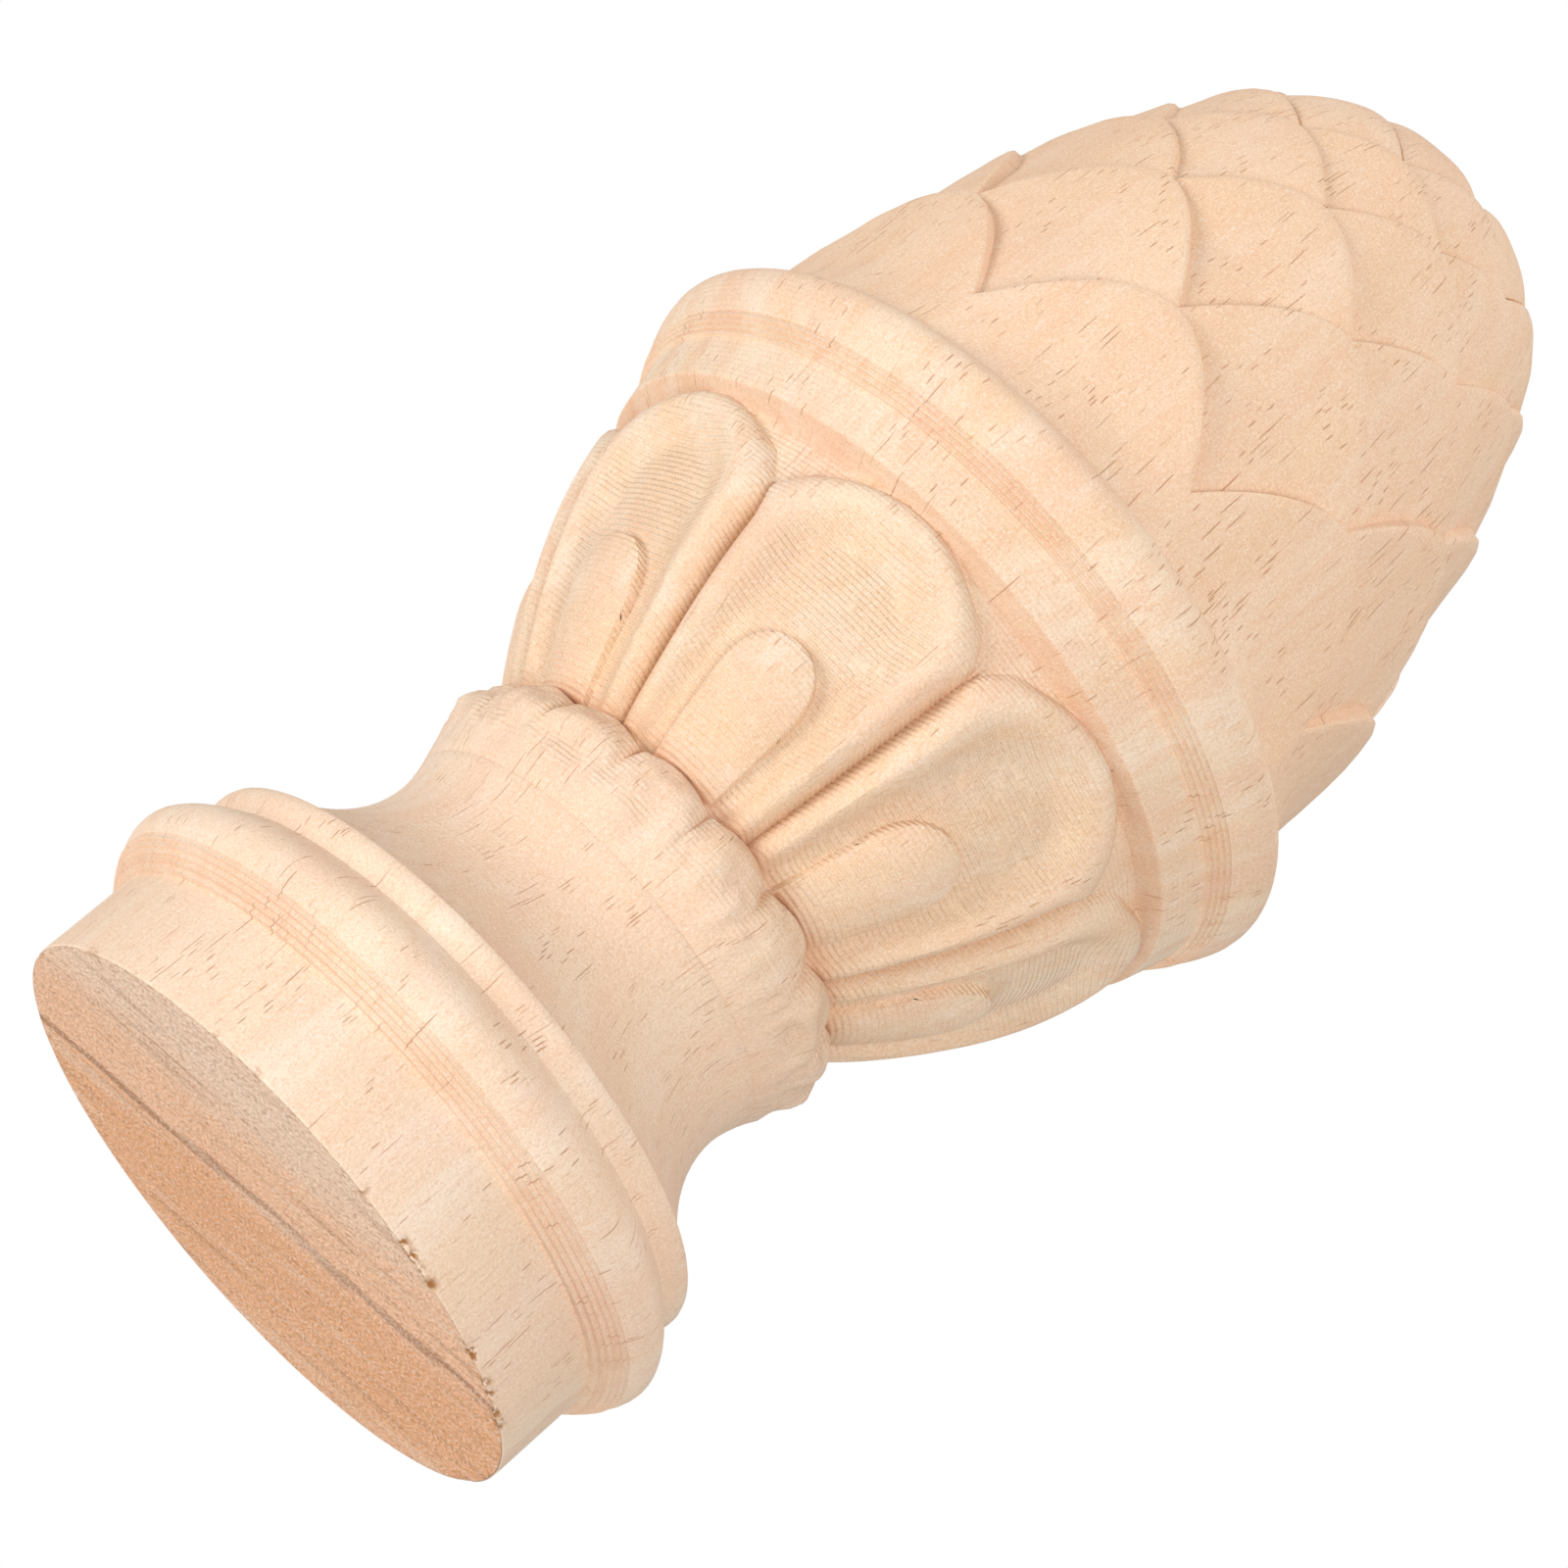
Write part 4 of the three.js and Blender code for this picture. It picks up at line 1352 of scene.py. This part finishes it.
    def side_colour(
        self, tree: bpy.types.NodeTree, grain: bpy.types.NodeSocket, tooled: bpy.types.NodeSocket
    ) -> bpy.types.NodeSocket:
        """Colours the long grain: broad cream, tan and pink bands, fine streaks, yellower cuts.

        Args:
            tree: Node tree.
            grain: Coordinates along the grain.
            tooled: Socket that tells how plainly the tool lines show.

        Returns:
            The colour socket.
        """
        colour = linear(self.cream)
        bands = (
            (self.tan, (26.0, 8.0, 150.0), 0.36, 0.66, 0.85),
            (self.pink, (15.0, 6.0, 60.0), 0.45, 0.7, 0.85),
            (self.yellow, (11.0, 11.0, 18.0), 0.52, 0.72, 0.3),
            (self.pale, (7.0, 5.0, 34.0), 0.52, 0.68, 0.45),
            (self.rosy, (2.4, 2.4, 46.0), 0.52, 0.66, 0.5),
            (self.pink, (5.0, 5.0, 26.0), 0.54, 0.7, 0.6),
            (self.shade, (0.5, 0.5, 9.0), 0.5, 0.8, 0.4),
        )
        for hue, size, low, high, most in bands:
            share = self.between(tree, self.patches(tree, grain, size, 2.0), low, high, most)
            colour = self.tint(tree, colour, hue, share)
        height = add_node(tree, "ShaderNodeSeparateXYZ", {0: grain}).outputs[2]
        top, bottom = (self.tone_height + 2.0) * MM, (self.tone_height - 8.0) * MM
        colour = self.tint(tree, colour, self.pale, self.between(tree, height, top, bottom, 0.3))
        bottom, top = (edge * MM for edge in self.cone_tone)
        colour = self.tint(tree, colour, self.rosy, self.between(tree, height, bottom, top, 0.5))
        return self.tint(tree, colour, self.yellow, self.between(tree, tooled, 0.3, 1.0, 0.22))

    def underside_colour(
        self,
        tree: bpy.types.NodeTree,
        grain: bpy.types.NodeSocket,
        sides: bpy.types.NodeSocket,
        sawn: bpy.types.NodeSocket,
    ) -> bpy.types.NodeSocket:
        """Colours the sawn underside: two glued boards of rough end grain with brown streaks.

        Args:
            tree: Node tree.
            grain: Coordinates along the grain.
            sides: Colour of the long grain.
            sawn: Socket that is 1 on the underside.

        Returns:
            The colour socket.
        """
        across = add_node(tree, "ShaderNodeSeparateXYZ", {0: grain}).outputs[1]
        wander = self.patches(tree, grain, (24.0, 9.0, 24.0), 3.0)
        inputs = {0: wander, 1: 10.0 * MM, 2: across}
        across = add_node(tree, "ShaderNodeMath", inputs, operation="MULTIPLY_ADD").outputs[0]
        middle = (self.seam + 5.0) * MM
        colour = linear(self.end_pale)
        for hue, low, high, most in (
            (self.end_light, -26.0, -11.0, 1.0),
            (self.end_brown, -1.0, 5.0, 1.0),
            (self.end_light, 26.0, 36.0, 0.35),
        ):
            share = self.between(tree, across, middle + low * MM, middle + high * MM, most)
            colour = self.tint(tree, colour, hue, share)
        below, above = (
            self.between(tree, across, middle + low * MM, middle + high * MM, 0.9)
            for low, high in ((-2.2, -0.5), (1.4, 0.3))
        )
        line = add_node(tree, "ShaderNodeMath", {0: below, 1: above}, operation="MULTIPLY").outputs[0]
        colour = self.tint(tree, colour, self.end_dark, line)
        for hue, size, low, high, most in (
            (self.end_dark, (30.0, 3.4, 30.0), 0.52, 0.74, 0.5),
            (self.end_pale, (34.0, 5.4, 34.0), 0.5, 0.66, 0.5),
            (self.end_dark, (9.0, 0.8, 9.0), 0.54, 0.72, 0.35),
            (self.end_dark, (1.2, 0.4, 1.2), 0.52, 0.66, 0.6),
            (self.end_dark, (0.42, 0.3, 0.5), 0.52, 0.66, 0.55),
            (self.fuzz, (0.42, 0.3, 0.5), 0.48, 0.34, 0.75),
        ):
            share = self.between(tree, self.patches(tree, grain, size, 3.0), low, high, most)
            colour = self.tint(tree, colour, hue, share)
        inputs = {"Factor": sawn, 6: sides, 7: colour}
        return add_node(tree, "ShaderNodeMix", inputs, data_type="RGBA").outputs[2]

    def relief(
        self,
        tree: bpy.types.NodeTree,
        place: bpy.types.NodeSocket,
        pores: bpy.types.NodeSocket,
        layers: dict[Layer, bpy.types.NodeSocket],
    ) -> bpy.types.NodeSocket:
        """Raises the tool lines and fibres, roughens the end grain and sinks the pores.

        Args:
            tree: Node tree.
            place: Object coordinates.
            pores: Socket that is 1 in a pore.
            layers: Sockets of the vertex layers.

        Returns:
            The normal socket.
        """
        # A Wave texture repeats every 0.31416 of its scaled unit.
        lines = add_node(
            tree,
            "ShaderNodeTexWave",
            {
                "Vector": place,
                "Scale": 0.31416 / (self.tool_pitch * MM),
                "Distortion": 0.7,
                "Detail": 2.0,
                "Detail Scale": 0.35,
            },
            bands_direction="Z",
        ).outputs["Fac"]
        ragged = self.between(tree, self.patches(tree, place, (2.6, 2.6, 1.0), 2.0), 0.15, 0.5, 1.0)
        ridges = lines
        for mask in (layers[Layer.TOOLED], ragged):
            ridges = add_node(tree, "ShaderNodeMath", {0: ridges, 1: mask}, operation="MULTIPLY").outputs[0]
        fibres = self.patches(tree, place, (0.3, 0.3, 4.0), 3.0)
        fuzz = self.patches(tree, place, (0.42, 0.42, 0.55), 3.0)
        inputs = {0: layers[Layer.SAWN], 1: self.sawn_fuzz, 2: 1.0}
        rough = add_node(tree, "ShaderNodeMath", inputs, operation="MULTIPLY_ADD").outputs[0]
        fuzz = add_node(tree, "ShaderNodeMath", {0: fuzz, 1: rough}, operation="MULTIPLY").outputs[0]
        inputs = {"Strength": 1.0}
        for pattern, height in (
            (ridges, self.ridge_height),
            (fibres, self.fibre_height),
            (fuzz, self.fuzz_height),
            (pores, self.pore_height),
        ):
            inputs.update({"Distance": abs(height) * MM, "Height": pattern})
            bump = add_node(tree, "ShaderNodeBump", inputs, invert=height < 0.0)
            inputs["Normal"] = bump.outputs[0]
        return bump.outputs[0]


@dataclass(frozen=True)
class PaleFloor:
    """Smooth pale studio floor, open from below, because the camera looks up at the underside.

    To the eye: matt, nearly white, and lost in the white surroundings farther away.
    """

    name: str = "pale_studio_floor"
    colour: str = "#f4f2ef"
    roughness: float = 0.9
    fade_start: float = 0.25
    fade_end: float = 1.3

    def build(self) -> bpy.types.Material:
        """Makes the material, which shows from above alone and fades into the white far away.

        Returns:
            The material.
        """
        material = bpy.data.materials.new(self.name)
        material.use_nodes = True
        tree = material.node_tree
        tree.nodes.clear()
        shader = add_node(
            tree,
            "ShaderNodeBsdfPrincipled",
            {"Base Color": linear(self.colour), "Roughness": self.roughness, "Specular IOR Level": 0.2},
        )
        below = add_node(tree, "ShaderNodeNewGeometry").outputs["Backfacing"]
        place = add_node(tree, "ShaderNodeTexCoord").outputs["Object"]
        reach = add_node(tree, "ShaderNodeVectorMath", {0: place}, operation="LENGTH").outputs["Value"]
        far = add_node(
            tree,
            "ShaderNodeMapRange",
            {"Value": reach, 1: self.fade_start, 2: self.fade_end},
            interpolation_type="SMOOTHSTEP",
        ).outputs[0]
        hidden = add_node(tree, "ShaderNodeMath", {0: below, 1: far}, operation="MAXIMUM").outputs[0]
        clear = add_node(tree, "ShaderNodeBsdfTransparent")
        both = add_node(tree, "ShaderNodeMixShader", {0: hidden, 1: shader.outputs[0], 2: clear.outputs[0]})
        add_node(tree, "ShaderNodeOutputMaterial", {"Surface": both.outputs[0]})
        return material


@dataclass(frozen=True)
class SoftLight:
    """Square area light that looks at the finial.

    Attributes:
        name: Name of the light.
        place: Where it hangs, in metres.
        size: Side of the square, in metres.
        watts: Its power.
        colour: Its colour.
    """

    name: str
    place: tuple[float, float, float]
    size: float
    watts: float
    colour: str = "#ffffff"


@dataclass
class Studio:
    """Camera, white surroundings, soft lights and floor. Metres."""

    camera_place: tuple[float, float, float] = (0.1418, -0.5482, -0.1452)
    camera_right: tuple[float, float, float] = (0.7023, -0.1110, 0.7032)
    camera_up: tuple[float, float, float] = (-0.6736, -0.4233, 0.6059)
    sensor: float = 36.0
    lens: float = 118.8
    target: tuple[float, float, float] = (0.0, 0.0, 0.09)
    ambient: float = 0.5
    floor_radius: float = 4.0
    floor_drop: float = 0.0002
    lights: tuple[SoftLight, ...] = (
        SoftLight("key", (-1.0, -0.82, -0.64), 0.7, 12.6),
        SoftLight("fill", (0.73, -1.08, -0.31), 0.56, 8.5),
        SoftLight("top", (0.1, -0.2, 1.7), 1.2, 10.5),
        SoftLight("low", (-0.1, 0.55, -1.1), 0.8, 5.2),
    )

    def add_camera(self) -> None:
        """Adds the camera at the photograph's viewing angle."""
        data = bpy.data.cameras.new("camera")
        data.sensor_width = self.sensor
        data.lens = self.lens
        data.clip_start = 0.01
        camera = bpy.data.objects.new("camera", data)
        right, up = Vector(self.camera_right).normalized(), Vector(self.camera_up).normalized()
        back = right.cross(up).normalized()
        turned = Matrix((right, back.cross(right), back)).transposed().to_4x4()
        camera.matrix_world = Matrix.Translation(self.camera_place) @ turned
        bpy.context.scene.collection.objects.link(camera)
        bpy.context.scene.camera = camera

    def add_lights(self) -> None:
        """Adds the soft lights and the white surroundings."""
        for light in self.lights:
            data = bpy.data.lights.new(light.name, "AREA")
            data.size = light.size
            data.energy = light.watts
            data.color = linear(light.colour)[:3]
            lamp = bpy.data.objects.new(light.name, data)
            aim = Vector(self.target) - Vector(light.place)
            turned = aim.to_track_quat("-Z", "Y").to_matrix().to_4x4()
            lamp.matrix_world = Matrix.Translation(light.place) @ turned
            lamp.visible_camera = False
            bpy.context.scene.collection.objects.link(lamp)
        world = bpy.data.worlds.new("white_surroundings")
        world.use_nodes = True
        tree = world.node_tree
        tree.nodes.clear()
        seen = add_node(tree, "ShaderNodeLightPath").outputs["Is Camera Ray"]
        inputs = {"Value": seen, 3: self.ambient, 4: 1.0}
        strength = add_node(tree, "ShaderNodeMapRange", inputs).outputs[0]
        inputs = {"Color": (1.0, 1.0, 1.0, 1.0), "Strength": strength}
        white = add_node(tree, "ShaderNodeBackground", inputs)
        add_node(tree, "ShaderNodeOutputWorld", {"Surface": white.outputs[0]})
        bpy.context.scene.world = world

    def add_floor(self) -> bpy.types.Object:
        """Adds the floor just under the finial.

        Returns:
            The floor, which lights nothing from below and hides nothing from there.
        """
        mesh = bmesh.new()
        bmesh.ops.create_circle(mesh, cap_ends=True, segments=128, radius=self.floor_radius)
        bmesh.ops.translate(mesh, verts=mesh.verts[:], vec=(0.0, 0.0, -self.floor_drop))
        if mesh.faces[:][0].normal.z < 0.0:
            bmesh.ops.reverse_faces(mesh, faces=mesh.faces[:])
        data = bpy.data.meshes.new("floor")
        mesh.to_mesh(data)
        mesh.free()
        floor = bpy.data.objects.new("floor", data)
        floor.data.materials.append(PaleFloor().build())
        floor.visible_diffuse = False
        floor.visible_glossy = False
        floor.visible_shadow = False
        bpy.context.scene.collection.objects.link(floor)
        return floor

    def build(self) -> None:
        """Sets up the whole studio."""
        self.add_camera()
        self.add_lights()
        self.add_floor()
        bpy.context.scene.view_settings.view_transform = "Standard"


def main() -> None:
    """Builds the finial and the studio, and reports each piece."""
    logging.basicConfig(level=logging.INFO, format="%(message)s")
    piece = Finial().build()
    piece.data.materials.append(BareRubberwood().build())
    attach(piece, "root")
    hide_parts("finial")
    triangles = sum(len(face.vertices) - 2 for face in piece.data.polygons)
    log.info("%s: %d triangles", piece.name, triangles)
    Studio().build()
    log.info("studio: camera, lights and floor")


if __name__ == "__main__":
    main()
